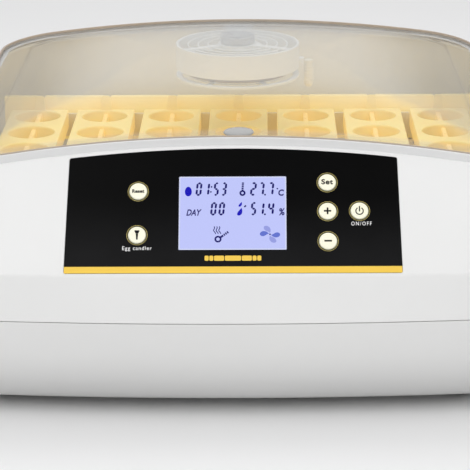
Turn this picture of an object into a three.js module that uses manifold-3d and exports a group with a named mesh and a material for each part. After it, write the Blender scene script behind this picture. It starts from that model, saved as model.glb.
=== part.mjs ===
// A forced-air egg incubator: a tub with a tray rack, seven tilting egg trays
// of seven holes each with their drive, and a lift-off upper housing with a sloped control
// panel, a clear window, and a fan and heater unit.
//
// Millimetres, +Z up, X across the machine, the control panel faces -Y.
// The origin is the middle of the footprint at the level it stands on.
import * as THREE from "three";
import { mergeVertices } from "three/addons/utils/BufferGeometryUtils.js";
import Module from "manifold-3d";

// ---------------------------------------------------------------- dimensions
const HALF_WIDTH = 245; // outer half width at the seam
const FRONT_Y = -260; // front centre at the seam
const BACK_Y = 260;
const FRONT_BULGE = 7.2; // how far the front runs back at x = 172
const CORNER_R = 40;
const SEAM_Z = 81.5; // parting line between tub and upper housing
const SEAM_GAP = 1.2;
const BAND_Z = 117.5; // top of the upright front band
const PANEL_Y = -256; // foot of the sloped panel
const PANEL_LEAN = 38; // degrees back from upright
const PANEL_TOP_S = 104.5; // slope length to the panel's top edge, at centre
const ARCH = 2150; // the top edge falls by x^2 / ARCH along the slope
const WALL = 3;
const BASE_Z = 5; // underside of the tub
const FLOOR_Z = 10; // inside of the tub

const RIM_HALF_WIDTH = 226; // top edge of the upper housing
const RIM_BACK_Y = 238;
const RIM_CORNER_R = 46;
const CROWN = 28; // window crown over the rim level

const TRAY_COUNT = 7;
const TRAY_PITCH = 63;
const TRAY_HALF_WIDTH = 27;
const TRAY_FRONT_Y = -208;
const TRAY_BACK_Y = 200;
const TRAY_TOP_Z = 127;
const TRAY_PLATE = 3;
const TRAY_DEPTH = 17; // plate top to skirt foot
const HOLE_COUNT = 7;
const HOLE_PITCH = 57;
const HOLE_START = 24; // first hole centre from the tray's back end
const HOLE_R = 21.5;
const PIVOT_Z = 134;
const PIN_R = 2;
const DRIVE_ARM = 22; // drive pin below the pivot

const BAR_Y0 = 203;
const BAR_Y1 = 207;
const BAR_BOTTOM_Z = 100;
const BAR_TOP_Z = 122;
const GEAR_MODULE = 2;
const PINION_TEETH = 12;
const PINION_X = 157.5;
const PINION_R = (GEAR_MODULE * PINION_TEETH) / 2;
const PINION_Z = BAR_BOTTOM_Z - 1.6 - PINION_R;

const FAN_Y = 135; // fan axis
const KNOB_X = 4; // vent knob axis
const KNOB_Y = -173.5;
const LCD = { u0: -40.6, u1: 39.9, s0: 21.2, s1: 79.9 };
const BUTTON_R = 6.3;
const BUTTONS = {
  button_reset: [-71, 67.7],
  button_candler: [-71.4, 32.9],
  button_set: [70.5, 74.4],
  button_plus: [70.5, 51.4],
  button_minus: [70.6, 27.7],
  button_power: [94.3, 51.6],
};

// -------------------------------------------------------------- solid helpers
const wasm = await Module();
wasm.setup();
const RAD = Math.PI / 180;

function toSolid(geometry) {
  const g = geometry.clone();
  for (const name of ["normal", "uv"])
    if (g.getAttribute(name)) g.deleteAttribute(name);
  const merged = mergeVertices(g, 1e-3);
  const tri = [];
  const idx = merged.index.array;
  for (let i = 0; i < idx.length; i += 3)
    if (
      idx[i] !== idx[i + 1] &&
      idx[i + 1] !== idx[i + 2] &&
      idx[i] !== idx[i + 2]
    )
      tri.push(idx[i], idx[i + 1], idx[i + 2]);
  return new wasm.Manifold(
    new wasm.Mesh({
      numProp: 3,
      vertProperties: new Float32Array(merged.attributes.position.array),
      triVerts: new Uint32Array(tri),
    }),
  );
}

function toGeometry(solid) {
  const m = solid.getMesh();
  const g = new THREE.BufferGeometry();
  const v = new Float32Array(m.numVert * 3);
  for (let i = 0; i < m.numVert; i++)
    v.set(
      m.vertProperties.subarray(i * m.numProp, i * m.numProp + 3),
      i * 3,
    );
  g.setAttribute("position", new THREE.BufferAttribute(v, 3));
  g.setIndex(new THREE.BufferAttribute(new Uint32Array(m.triVerts), 1));
  const flat = g.toNonIndexed();
  flat.computeVertexNormals();
  return flat;
}

const join = (first, ...rest) => rest.reduce((a, b) => a.add(b), first);
const cut = (first, ...rest) => rest.reduce((a, b) => a.subtract(b), first);

function block(x0, x1, y0, y1, z0, z1, matrix) {
  const g = new THREE.BoxGeometry(x1 - x0, y1 - y0, z1 - z0);
  g.translate((x0 + x1) / 2, (y0 + y1) / 2, (z0 + z1) / 2);
  if (matrix) g.applyMatrix4(matrix);
  return toSolid(g);
}

// A cylinder or cone along an axis, from a to b on that axis, through (p, q).
function rod(axis, a, b, p, q, ra, rb = ra, segments = 12, matrix) {
  const g = new THREE.CylinderGeometry(rb, ra, b - a, segments);
  g.translate(0, (a + b) / 2, 0);
  if (axis === "z") g.rotateX(Math.PI / 2);
  if (axis === "x") g.rotateZ(-Math.PI / 2);
  if (axis === "z") g.translate(p, q, 0);
  if (axis === "y") g.translate(p, 0, q);
  if (axis === "x") g.translate(0, p, q);
  if (matrix) g.applyMatrix4(matrix);
  return toSolid(g);
}

function shapeOf(points, holes = []) {
  const shape = new THREE.Shape(points.map(([x, y]) => new THREE.Vector2(x, y)));
  for (const h of holes)
    shape.holes.push(new THREE.Path(h.map(([x, y]) => new THREE.Vector2(x, y))));
  return shape;
}

// A plate with its outline in XY, from z0 to z1.
function plateXY(points, z0, z1, holes, matrix) {
  const g = new THREE.ExtrudeGeometry(shapeOf(points, holes), {
    depth: z1 - z0,
    bevelEnabled: false,
  });
  g.translate(0, 0, z0);
  if (matrix) g.applyMatrix4(matrix);
  return toSolid(g);
}

// A plate with its outline in XZ, from y0 to y1.
function plateXZ(points, y0, y1, holes) {
  const g = new THREE.ExtrudeGeometry(shapeOf(points, holes), {
    depth: y1 - y0,
    bevelEnabled: false,
  });
  g.rotateX(Math.PI / 2);
  g.translate(0, y1, 0);
  return toSolid(g);
}

const circle = (x, y, r, n, turn = 0) =>
  Array.from({ length: n }, (_, i) => [
    x + r * Math.cos((2 * Math.PI * i) / n + turn),
    y + r * Math.sin((2 * Math.PI * i) / n + turn),
  ]);

function roundRect(x0, x1, y0, y1, r, n) {
  const pts = [];
  for (const [cx, cy, a] of [
    [x1 - r, y0 + r, -90],
    [x1 - r, y1 - r, 0],
    [x0 + r, y1 - r, 90],
    [x0 + r, y0 + r, 180],
  ])
    for (let i = 0; i <= n; i++) {
      const t = (a + (90 * i) / n) * RAD;
      pts.push([cx + r * Math.cos(t), cy + r * Math.sin(t)]);
    }
  return pts;
}

// A skin through rings of equal length. Ends are capped, or joined when closed.
function loft(rings, { closed = false } = {}) {
  const n = rings[0].length;
  const pos = rings.flat(2);
  const index = [];
  const last = closed ? rings.length : rings.length - 1;
  for (let k = 0; k < last; k++) {
    const a = k * n;
    const b = ((k + 1) % rings.length) * n;
    for (let i = 0; i < n; i++) {
      const j = (i + 1) % n;
      index.push(a + i, a + j, b + j, a + i, b + j, b + i);
    }
  }
  if (!closed)
    for (const [start, flip] of [
      [0, true],
      [(rings.length - 1) * n, false],
    ]) {
      const contour = [];
      for (let i = 0; i < n; i++)
        contour.push(new THREE.Vector2(pos[(start + i) * 3], pos[(start + i) * 3 + 1]));
      for (const [a, b, c] of THREE.ShapeUtils.triangulateShape(contour, []))
        index.push(
          start + a,
          start + (flip ? c : b),
          start + (flip ? b : c),
        );
    }
  const g = new THREE.BufferGeometry();
  g.setAttribute("position", new THREE.Float32BufferAttribute(pos, 3));
  g.setIndex(index);
  return toSolid(g);
}

// ------------------------------------------------------------- plan outlines
const N_FRONT = 10;
const N_CORNER = 4;
const N_SIDE = 3;

// The plan outline, anticlockwise from the front's left end. z is a number or
// a function of x.
function ring(hw, yF, yB, rF, rB, bulge, z) {
  const pts = [];
  const frontAt = (x) => yF + bulge * (x / 172) ** 2;
  const xf = hw - rF;
  const yEnd = frontAt(xf);
  const zAt = typeof z === "function" ? z : () => z;
  const put = (x, y) => pts.push([x, y, zAt(x, y)]);
  for (let i = 0; i <= N_FRONT; i++) {
    const x = -xf + (2 * xf * i) / N_FRONT;
    put(x, frontAt(x));
  }
  for (let i = 1; i <= N_CORNER; i++) {
    const t = (90 * i * RAD) / N_CORNER;
    put(xf + rF * Math.sin(t), yEnd + rF * (1 - Math.cos(t)));
  }
  for (let i = 1; i <= N_SIDE; i++)
    put(hw, yEnd + rF + ((yB - rB - yEnd - rF) * i) / N_SIDE);
  for (let i = 1; i <= N_CORNER; i++) {
    const t = (90 * i * RAD) / N_CORNER;
    put(hw - rB * (1 - Math.cos(t)), yB - rB + rB * Math.sin(t));
  }
  for (let i = 1; i <= N_FRONT; i++)
    put(hw - rB - (2 * (hw - rB) * i) / N_FRONT, yB);
  for (let i = 1; i <= N_CORNER; i++) {
    const t = (90 * i * RAD) / N_CORNER;
    put(-hw + rB - rB * Math.sin(t), yB - rB + rB * Math.cos(t));
  }
  for (let i = 1; i <= N_SIDE; i++)
    put(-hw, yB - rB - ((yB - rB - yEnd - rF) * i) / N_SIDE);
  for (let i = 1; i < N_CORNER; i++) {
    const t = (90 * i * RAD) / N_CORNER;
    put(-xf - rF * Math.cos(t), yEnd + rF * (1 - Math.sin(t)));
  }
  return pts;
}

// Rings of the tub: o is how far in from the seam outline.
const tubRing = (o, z) =>
  ring(
    HALF_WIDTH - o,
    FRONT_Y + o,
    BACK_Y - o,
    Math.max(12, CORNER_R - 0.3 * o),
    Math.max(12, CORNER_R - 0.3 * o),
    FRONT_BULGE,
    z,
  );

// The rim: the top edge of the upper housing, arched across X.
const sinLean = Math.sin(PANEL_LEAN * RAD);
const cosLean = Math.cos(PANEL_LEAN * RAD);
const RIM_FRONT_Y = PANEL_Y + PANEL_TOP_S * sinLean;
const RIM_TOP_Z = BAND_Z + PANEL_TOP_S * cosLean;
const RIM_BULGE = (-172 * 172 * sinLean) / ARCH;
const rimZ = (x) => RIM_TOP_Z - (x * x * cosLean) / ARCH;
// o in from the rim outline, h above the rim level.
const rimRing = (o, h) =>
  ring(
    RIM_HALF_WIDTH - o,
    RIM_FRONT_Y + o,
    RIM_BACK_Y - o,
    Math.max(10, RIM_CORNER_R - 0.6 * o),
    Math.max(10, RIM_CORNER_R - 0.6 * o),
    RIM_BULGE,
    (x) => rimZ(x) + h,
  );

// --------------------------------------------------------------- scene graph
const incubator = new THREE.Group();
const baseGroup = new THREE.Group();
const rackGroup = new THREE.Group();
const lidGroup = new THREE.Group();
const panel = new THREE.Group(); // u across, s up the slope, n out of the panel
panel.position.set(0, PANEL_Y, BAND_Z);
panel.rotation.x = (90 - PANEL_LEAN) * RAD;
incubator.add(baseGroup, lidGroup);
baseGroup.add(rackGroup);
lidGroup.add(panel);
panel.updateMatrix();
const PANEL_MATRIX = panel.matrix.clone();

const finish = (color, roughness, metalness = 0) =>
  new THREE.MeshStandardMaterial({ color, roughness, metalness });
const WHITE = finish(0xeeeeec, 0.35);
const GREY_WHITE = finish(0xd8d8d6, 0.4);
const RIM_GREY = finish(0xdcdcdc, 0.4);
const BLACK_FILM = finish(0x0b0b0c, 0.3);
const CREAM = finish(0xf3efdf, 0.4);
const TRAY_YELLOW = finish(0xf3cf7a, 0.45);
const RUBBER = finish(0x2a2a2a, 0.9);
const STEEL = finish(0xb9bcc0, 0.3, 1);
const DARK_PLASTIC = finish(0x1d1e20, 0.5);

function addMesh(group, name, solid, material, at) {
  const mesh = new THREE.Mesh(toGeometry(solid), material);
  mesh.name = name;
  if (at) mesh.position.set(...at);
  group.add(mesh);
  return mesh;
}

// ------------------------------------------------------------------ the tub
{
  let shell = loft([
    tubRing(44, BASE_Z),
    tubRing(28, 11),
    tubRing(17, 20),
    tubRing(8, 33),
    tubRing(3, 48),
    tubRing(0.5, 64),
    tubRing(0, SEAM_Z - SEAM_GAP / 2),
    tubRing(4.3, SEAM_Z - SEAM_GAP / 2),
    tubRing(4.3, 87),
    tubRing(6.3, 87),
    tubRing(6.3, 62),
    tubRing(9, 46),
    tubRing(16, 30),
    tubRing(27, 18),
    tubRing(42, FLOOR_Z),
  ]);
  // Four bosses that the rack legs stand on.
  for (const sx of [-1, 1])
    for (const [y0, y1] of [
      [-219.5, -203],
      [203, 219.5],
    ])
      shell = join(
        shell,
        block(sx > 0 ? 126 : -152, sx > 0 ? 152 : -126, y0, y1, FLOOR_Z - 1, 15.7),
      );
  // The hole for the filler port.
  shell = cut(
    shell,
    rod("x", -250, -200, -120, 42, 8.4, 8.4, 16),
    rod("x", -250, -240, -120, 42, 10.9, 10.9, 16),
  );
  addMesh(baseGroup, "base_shell", shell, GREY_WHITE);
}
for (const [name, sx, sy] of [
  ["foot_front_left", -1, -1],
  ["foot_front_right", 1, -1],
  ["foot_rear_left", -1, 1],
  ["foot_rear_right", 1, 1],
])
  addMesh(
    baseGroup,
    name,
    rod("z", 0, BASE_Z - 0.3, 0, 0, 10, 12, 16),
    RUBBER,
    [sx * 175, sy * 190, 0],
  );

// The water tray: two open channels under the floor grid.
addMesh(
  baseGroup,
  "water_tray",
  cut(
    block(-186, 186, -196, 196, FLOOR_Z + 0.4, 22),
    block(-182, -4, -191, 191, 13, 30),
    block(4, 182, -191, 191, 13, 30),
  ),
  finish(0xe8e6de, 0.4),
);
{
  // The grid leaves the outer end of each channel open for filling and cleaning.
  let grid = plateXY(roundRect(-148, 148, -194, 194, 6, 2), 22.4, 24.4);
  for (let i = 0; i < 3; i++)
    for (let j = 0; j < 7; j++) {
      const x = -96 + 96 * i;
      const y = -162 + 54 * j;
      grid = cut(grid, block(x - 39, x + 39, y - 7, y + 7, 20, 27));
    }
  addMesh(baseGroup, "floor_grid", grid, finish(0xe9dcb4, 0.5));
}

// The filler port through the left wall, and its pull-out plug.
addMesh(
  baseGroup,
  "filler_port",
  cut(
    rod("x", -239.5, -178, 0, 0, 8, 8, 16),
    rod("x", -241, -176, 0, 0, 6, 6, 16),
  ),
  GREY_WHITE,
  [0, -120, 42],
);
addMesh(
  baseGroup,
  "filler_plug",
  join(
    rod("x", -243.8, -240.4, 0, 0, 9.6, 10.2, 16),
    rod("x", -240.6, -226, 0, 0, 5.6, 5.3, 16),
  ),
  DARK_PLASTIC,
  [0, -120, 42],
);

// ----------------------------------------------------------------- the rack
const trayX = Array.from(
  { length: TRAY_COUNT },
  (_, i) => (i - (TRAY_COUNT - 1) / 2) * TRAY_PITCH,
);

function railOutline() {
  const pts = [
    [-224, 95],
    [-150, 95],
    [-150, 16],
    [-128, 16],
    [-128, 95],
    [128, 95],
    [128, 16],
    [150, 16],
    [150, 95],
    [224, 95],
    [224, 137],
  ];
  for (const x of [...trayX].reverse())
    pts.push(
      [x + 4.2, 137],
      [x + 2.5, 135],
      [x + 2.5, 132.6],
      [x + 1.2, 131.4],
      [x - 1.2, 131.4],
      [x - 2.5, 132.6],
      [x - 2.5, 135],
      [x - 4.2, 137],
    );
  pts.push([-224, 137]);
  return pts;
}
addMesh(
  rackGroup,
  "rack_front_rail",
  plateXZ(railOutline(), -219, -213),
  TRAY_YELLOW,
);
addMesh(
  rackGroup,
  "rack_rear_rail",
  join(
    plateXZ(railOutline(), 210, 216),
    // lugs that carry the drive bar
    block(-162, -142, 202.4, 210.5, 95.5, 99.6),
    block(24, 44, 202.4, 210.5, 95.5, 99.6),
  ),
  TRAY_YELLOW,
);
for (const [name, x0, x1] of [
  ["rack_left_rail", -145, -133],
  ["rack_right_rail", 133, 145],
])
  addMesh(
    rackGroup,
    name,
    block(x0, x1, -212.6, 209.6, 60, 72),
    TRAY_YELLOW,
  );

// ---------------------------------------------------------------- the trays
// In its own frame a tray has its pivot axis along Y through the origin.
function traySolid() {
  const top = TRAY_TOP_Z - PIVOT_Z;
  const foot = top - TRAY_DEPTH;
  const w = TRAY_HALF_WIDTH;
  const y0 = TRAY_FRONT_Y;
  const y1 = TRAY_BACK_Y;
  const holes = [];
  for (let i = 0; i < HOLE_COUNT; i++)
    holes.push(
      circle(0, y1 - HOLE_START - HOLE_PITCH * i, HOLE_R, 12, Math.PI / 12).reverse(),
    );
  let tray = plateXY(roundRect(-w, w, y0, y1, 2, 1), top - TRAY_PLATE, top, holes);
  const underPlate = top - TRAY_PLATE + 1;
  tray = join(
    tray,
    block(-w, -w + 2, y0 + 1, y1 - 1, foot, underPlate),
    block(w - 2, w, y0 + 1, y1 - 1, foot, underPlate),
    block(-w + 0.6, w - 0.6, y0, y0 + 2, foot, underPlate),
    block(-w + 0.6, w - 0.6, y1 - 2, y1, foot, underPlate),
    block(-2.2, 2.2, y0 + 1, y1 - 1, foot + 7, top - 4.3),
  );
  const tab = [
    [-5.6, top - 1],
    [5.6, top - 1],
    [3.8, 6.7],
    [-3.8, 6.7],
  ];
  tray = join(
    tray,
    plateXZ(tab, y0, y0 + 2),
    plateXZ(tab, y1 - 2, y1),
    rod("y", y0 - 12.5, y0 + 1, 0, 0, PIN_R, PIN_R, 8),
    rod("y", y1 - 1, y1 + 17.5, 0, 0, PIN_R, PIN_R, 8),
    rod("y", y1 - 1, y1 + 8.5, 0, -DRIVE_ARM, PIN_R, PIN_R, 8),
  );
  return tray;
}
const oneTray = traySolid();
const oneStrip = block(
  -1.8,
  1.8,
  TRAY_FRONT_Y + 3,
  TRAY_BACK_Y - 3,
  TRAY_TOP_Z - PIVOT_Z - 4,
  TRAY_TOP_Z - PIVOT_Z - 3.3,
);
trayX.forEach((x, i) => {
  const tray = new THREE.Group();
  tray.position.set(x, 0, PIVOT_Z);
  addMesh(tray, "egg_tray_" + (i + 1), oneTray, TRAY_YELLOW);
  addMesh(tray, "candler_strip_" + (i + 1), oneStrip, finish(0xfff6dc, 0.4));
  rackGroup.add(tray);
});

// --------------------------------------------------------------- tray drive
{
  // The bar: seven open slots for the tray pins, and rack teeth on its foot.
  const pitch = Math.PI * GEAR_MODULE;
  const pts = [[-205, BAR_BOTTOM_Z]];
  for (let k = -4; k <= 4; k++) {
    const x = PINION_X + k * pitch;
    pts.push(
      [x - 1.6, BAR_BOTTOM_Z],
      [x - 0.6, BAR_BOTTOM_Z - 3.2],
      [x + 0.6, BAR_BOTTOM_Z - 3.2],
      [x + 1.6, BAR_BOTTOM_Z],
    );
  }
  pts.push([205, BAR_BOTTOM_Z], [205, BAR_TOP_Z]);
  for (const x of [...trayX].reverse())
    pts.push(
      [x + 4.6, BAR_TOP_Z],
      [x + 4.6, 109.4],
      [x - 4.6, 109.4],
      [x - 4.6, BAR_TOP_Z],
    );
  pts.push([-205, BAR_TOP_Z]);
  addMesh(
    rackGroup,
    "drive_bar",
    plateXZ(pts, BAR_Y0, BAR_Y1),
    finish(0xe9e4d6, 0.45),
  );
}
{
  const pts = [];
  const at = (r, a) => [r * Math.cos(a), r * Math.sin(a)];
  for (let k = 0; k < PINION_TEETH; k++) {
    const a = (90 + 15 + 30 * k) * RAD;
    pts.push(
      at(PINION_R - 1.9, a - 1.5 / 10.1),
      at(PINION_R + 1.2, a - 0.55 / 13.2),
      at(PINION_R + 1.2, a + 0.55 / 13.2),
      at(PINION_R - 1.9, a + 1.5 / 10.1),
    );
  }
  addMesh(
    rackGroup,
    "drive_pinion",
    cut(
      join(
        plateXZ(pts, BAR_Y0 + 0.3, BAR_Y1 - 0.3),
        rod("y", BAR_Y1 - 0.5, 211.5, 0, 0, 5.5, 5.5, 12),
      ),
      rod("y", 204.5, 213, 0, 0, 2.6, 2.6, 12),
    ),
    finish(0xe9e4d6, 0.45),
    [PINION_X, 0, PINION_Z],
  );
}
addMesh(
  rackGroup,
  "turner_motor",
  cut(
    join(
      block(-18, 18, 218.8, 246, -17, 17),
      block(-21, 15, 216.4, 219.2, -13, 21),
      rod("y", 246, 250, 0, 0, 9, 9, 16),
      rod("y", 204.8, 219, 0, 0, 2.2, 2.2, 12),
    ),
    rod("y", 215, 218.9, -17.5, 17.5, 1.7, 1.7, 10),
    rod("y", 215, 218.9, 11.5, 17.5, 1.7, 1.7, 10),
  ),
  STEEL,
  [PINION_X, 0, PINION_Z],
);

// ---------------------------------------------------------- upper housing
{
  let housing = loft(
    [
      ring(HALF_WIDTH, FRONT_Y, BACK_Y, CORNER_R, CORNER_R, FRONT_BULGE, SEAM_Z + SEAM_GAP / 2),
      ring(243.5, PANEL_Y, 258, CORNER_R, CORNER_R, 0.8, (x) => BAND_Z + 1.02 * (x / 172) ** 2),
      rimRing(0, 0),
      rimRing(7, 0),
      rimRing(7, -WALL),
      ring(RIM_HALF_WIDTH - 2.6, RIM_FRONT_Y + 1.3, RIM_BACK_Y - 2.6, 44, 44, RIM_BULGE, (x) => rimZ(x) - WALL),
      ring(240.5, PANEL_Y + 3, 255, 37, 37, 0.8, (x) => BAND_Z - 1 + 1.02 * (x / 172) ** 2),
      ring(242, FRONT_Y + 3, BACK_Y - 3, 37, 37, FRONT_BULGE, SEAM_Z + SEAM_GAP / 2),
    ],
    { closed: true },
  );
  // A shallow pocket for the panel film, with the display and button holes.
  housing = cut(
    housing,
    plateXY(overlayOutline(0.3), -1.1, 8, [], PANEL_MATRIX),
    block(-37.6, 36.9, 24.2, 76.9, -8, 2, PANEL_MATRIX),
  );
  for (const [u, s] of Object.values(BUTTONS))
    housing = cut(housing, rod("z", -8, 2, u, s, 6.9, 6.9, 14, PANEL_MATRIX));
  // The inlet opening in the back wall.
  housing = cut(housing, block(-165, -135, 245, 270, 89.5, 110.5));
  addMesh(lidGroup, "top_housing", housing, WHITE);
}

// The film's outline in the panel plane: straight foot and sides, arched top.
function overlayOutline(grow) {
  const pts = [
    [-125.2 - grow, 2.9 - grow],
    [125.2 + grow, 2.9 - grow],
  ];
  for (let i = 0; i <= 10; i++) {
    const u = 123.2 + grow - ((246.4 + 2 * grow) * i) / 10;
    pts.push([u, 102 + grow - (u * u) / 2000]);
  }
  return pts;
}

{
  const holes = Object.values(BUTTONS).map(([u, s]) =>
    circle(u, s, 6.9, 14).reverse(),
  );
  holes.push([
    [LCD.u0, LCD.s0],
    [LCD.u0, LCD.s1],
    [LCD.u1, LCD.s1],
    [LCD.u1, LCD.s0],
  ]);
  addMesh(
    panel,
    "panel_overlay",
    plateXY(overlayOutline(0), -0.8, 0, holes),
    BLACK_FILM,
  );
}
addMesh(
  panel,
  "lcd_lens",
  plateXY(
    roundRect(LCD.u0 + 0.3, LCD.u1 - 0.3, LCD.s0 + 0.3, LCD.s1 - 0.3, 1, 1),
    -0.8,
    -0.1,
  ),
  finish(0xc5c8ff, 0.15),
);
addMesh(
  panel,
  "lcd_module",
  block(LCD.u0 - 2, LCD.u1 + 2, LCD.s0 - 2, LCD.s1 + 2, -7.6, -3.4),
  finish(0x9fa2c8, 0.4),
);
for (const [name, [u, s]] of Object.entries(BUTTONS))
  addMesh(
    panel,
    name,
    join(
      rod("z", -3.6, 1.1, 0, 0, BUTTON_R, BUTTON_R, 14),
      rod("z", -4.5, -3.5, 0, 0, 7.6, 7.6, 10),
      rod("z", -6.7, -4.4, 0, 0, 2.4, 2.4, 6),
    ),
    CREAM,
    [u, s, 0],
  );
addMesh(
  panel,
  "control_board",
  plateXY(
    [
      [-116, 14],
      [116, 14],
      [116, 86],
      [110, 91],
      [-110, 91],
      [-116, 86],
    ],
    -9.6,
    -8.1,
    [
      [-112, 20],
      [112, 20],
      [-105, 87],
      [105, 87],
    ].map(([u, s]) => circle(u, s, 2.2, 8).reverse()),
  ),
  finish(0x1f5b33, 0.5),
);
addMesh(
  panel,
  "electronics_cover",
  cut(
    block(-121, 121, 9.5, 94, -14, -3.5),
    block(-119, 119, 11.5, 92, -12.6, -3),
    ...[
      [-112, 20],
      [112, 20],
      [-105, 87],
      [105, 87],
    ].map(([u, s]) => rod("z", -16, -10, u, s, 2, 2, 8)),
  ),
  GREY_WHITE,
);
[
  [-112, 20],
  [112, 20],
  [-105, 87],
  [105, 87],
].forEach(([u, s], i) =>
  addMesh(
    panel,
    "cover_screw_" + (i + 1),
    join(
      rod("z", -16.2, -14.3, 0, 0, 3.2, 3.4, 8),
      rod("z", -14.4, -3.6, 0, 0, 1.4, 1.4, 8),
    ),
    STEEL,
    [u, s, 0],
  ),
);

// Window frame, its seal, and the clear window.
addMesh(
  lidGroup,
  "window_frame",
  loft(
    [
      rimRing(1.2, 0.3),
      rimRing(1.2, 6),
      rimRing(3.6, 6),
      rimRing(3.6, 2.5),
      rimRing(10, 2.5),
      rimRing(10, 1.6),
      rimRing(2.4, 1.6),
      rimRing(2.4, 0.3),
    ],
    { closed: true },
  ),
  RIM_GREY,
);
addMesh(
  lidGroup,
  "window_gasket",
  loft([rimRing(2.8, 0.3), rimRing(2.8, 1.3), rimRing(6.6, 1.3), rimRing(6.6, 0.3)], {
    closed: true,
  }),
  RUBBER,
);
{
  const midY = (RIM_FRONT_Y + RIM_BACK_Y) / 2;
  // The last ring closes onto a line along X at the crown.
  const ridge = (h) =>
    rimRing(150, 0).map(([x]) => {
      const xr = Math.max(-66, Math.min(66, x));
      return [xr, midY, rimZ(xr) + h];
    });
  const skin = [
    [3.9, 4.6],
    [30, 4.6],
    [46, 10],
    [75, 17],
    [115, 23],
  ];
  const t = 1.8;
  const window_ = loft(
    [
      ridge(CROWN - t),
      ...[...skin].reverse().map(([o, h]) => rimRing(o, h - t)),
      ...skin.map(([o, h]) => rimRing(o, h)),
      ridge(CROWN),
    ],
    {},
  );
  addMesh(
    lidGroup,
    "clear_window",
    cut(window_, rod("z", 195, 215, KNOB_X, KNOB_Y, 3.8, 3.8, 12)),
    new THREE.MeshStandardMaterial({
      color: 0xe9eef0,
      roughness: 0.05,
      transparent: true,
      opacity: 0.25,
    }),
  );
}
addMesh(
  lidGroup,
  "vent_knob",
  join(
    rod("z", 0, 1.3, 0, 0, 11.8, 11.6, 16),
    rod("z", 1.2, 2.4, 0, 0, 11.6, 9, 16),
    rod("z", 2.3, 3.2, 0, 0, 9, 4, 16),
    rod("z", -6.5, 0.5, 0, 0, 3.2, 3.2, 10),
  ),
  finish(0xa9b6c0, 0.2),
  [KNOB_X, KNOB_Y, rimZ(0) + 5],
);

// Power inlet in the back wall.
addMesh(
  lidGroup,
  "power_inlet",
  join(
    cut(
      block(-164.5, -135.5, 241, 259.6, 90, 110),
      block(-162, -138, 247, 262, 92, 108),
    ),
    block(-158, -156, 246, 257, 97, 101),
    block(-151, -149, 246, 257, 99, 103),
    block(-144, -142, 246, 257, 97, 101),
  ),
  DARK_PLASTIC,
);

// ------------------------------------------------------ fan and heater unit
const fan = new THREE.Group();
fan.position.set(0, FAN_Y, 0);
lidGroup.add(fan);
{
  let body = cut(
    rod("z", 184, 206, 0, 0, 56, 56, 28),
    rod("z", 180, 210, 0, 0, 53.5, 53.5, 28),
  );
  for (const a of [90, 210, 330]) {
    const turn = new THREE.Matrix4().makeRotationZ(a * RAD);
    body = join(
      body,
      block(14, 55, -3.5, 3.5, 203, 206, turn),
      block(46.5, 55, -2.5, 2.5, 184.2, 186.5, turn),
    );
  }
  body = join(
    body,
    rod("z", 203, 206, 0, 0, 18, 18, 20),
    block(-13, 13, 54, 98.5, 193, 196.2),
    block(55, 60, -4, 4, 186, 192),
  );
  body = cut(body, rod("z", 200, 210, 0, 0, 3.4, 3.4, 12));
  addMesh(fan, "fan_housing", body, WHITE);
}
addMesh(
  fan,
  "fan_motor",
  join(
    rod("z", 206.3, 214, 0, 0, 15.5, 14.5, 20),
    rod("z", 189, 206.5, 0, 0, 2, 2, 10),
  ),
  STEEL,
);
{
  let impeller = rod("z", 188.5, 200, 0, 0, 9.5, 8.5, 15);
  for (let k = 0; k < 5; k++) {
    const m = new THREE.Matrix4()
      .makeRotationZ(72 * k * RAD)
      .multiply(new THREE.Matrix4().makeTranslation(0, 0, 194.5))
      .multiply(new THREE.Matrix4().makeRotationX(24 * RAD));
    const blade = new THREE.ExtrudeGeometry(
      shapeOf([
        [7, -5],
        [28, -11],
        [46, -11],
        [50, -3],
        [48, 8],
        [30, 8],
        [7, 5],
      ]),
      { depth: 1.8, bevelEnabled: false },
    );
    blade.translate(0, 0, -0.9);
    blade.applyMatrix4(m);
    impeller = join(impeller, toSolid(blade));
  }
  impeller = cut(impeller, rod("z", 186, 202, 0, 0, 2.5, 2.5, 12));
  addMesh(fan, "fan_impeller", impeller, finish(0xdfe6ea, 0.35));
}
{
  const profile = circle(46, 181.4, 2.4, 6).map(([x, y]) => new THREE.Vector2(x, y));
  profile.push(profile[0].clone());
  const g = new THREE.LatheGeometry(profile, 24);
  g.rotateX(Math.PI / 2);
  g.scale(1, 1, 1);
  let solid = toSolid(g);
  if (solid.volume() < 0) {
    profile.reverse();
    const r = new THREE.LatheGeometry(profile, 24);
    r.rotateX(Math.PI / 2);
    solid = toSolid(r);
  }
  addMesh(fan, "heater_ring", solid, STEEL);
}
{
  const holes = [];
  for (let k = 0; k < 6; k++) {
    const pts = [];
    for (let i = 0; i <= 3; i++) {
      const a = (60 * k + 4 + (52 * i) / 3) * RAD;
      pts.push([51 * Math.cos(a), 51 * Math.sin(a)]);
    }
    for (let i = 3; i >= 0; i--) {
      const a = (60 * k + 10 + (40 * i) / 3) * RAD;
      pts.push([18 * Math.cos(a), 18 * Math.sin(a)]);
    }
    holes.push(pts.reverse());
  }
  addMesh(
    fan,
    "heat_guard",
    plateXY(circle(0, 0, 56, 24), 175.6, 178, holes),
    finish(0xf0f0ee, 0.4),
  );
}
addMesh(
  fan,
  "sensor_probe",
  join(
    rod("z", 168, 190, 64.5, 0, 4.2, 4.2, 12),
    rod("z", 165, 168.2, 64.5, 0, 2.6, 4.2, 12),
  ),
  finish(0xd9dcde, 0.4),
);

export default incubator;
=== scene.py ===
"""Looks for the egg incubator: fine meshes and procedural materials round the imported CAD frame.

Lengths in this file are millimetres in the helpers and metres in the meshes.
u, s, n are the control panel's own axes: across, up the slope, out of the panel.
"""
import math

import bmesh
import bpy
import numpy as np
from mathutils import Matrix, Vector
from mathutils.geometry import tessellate_polygon


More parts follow.
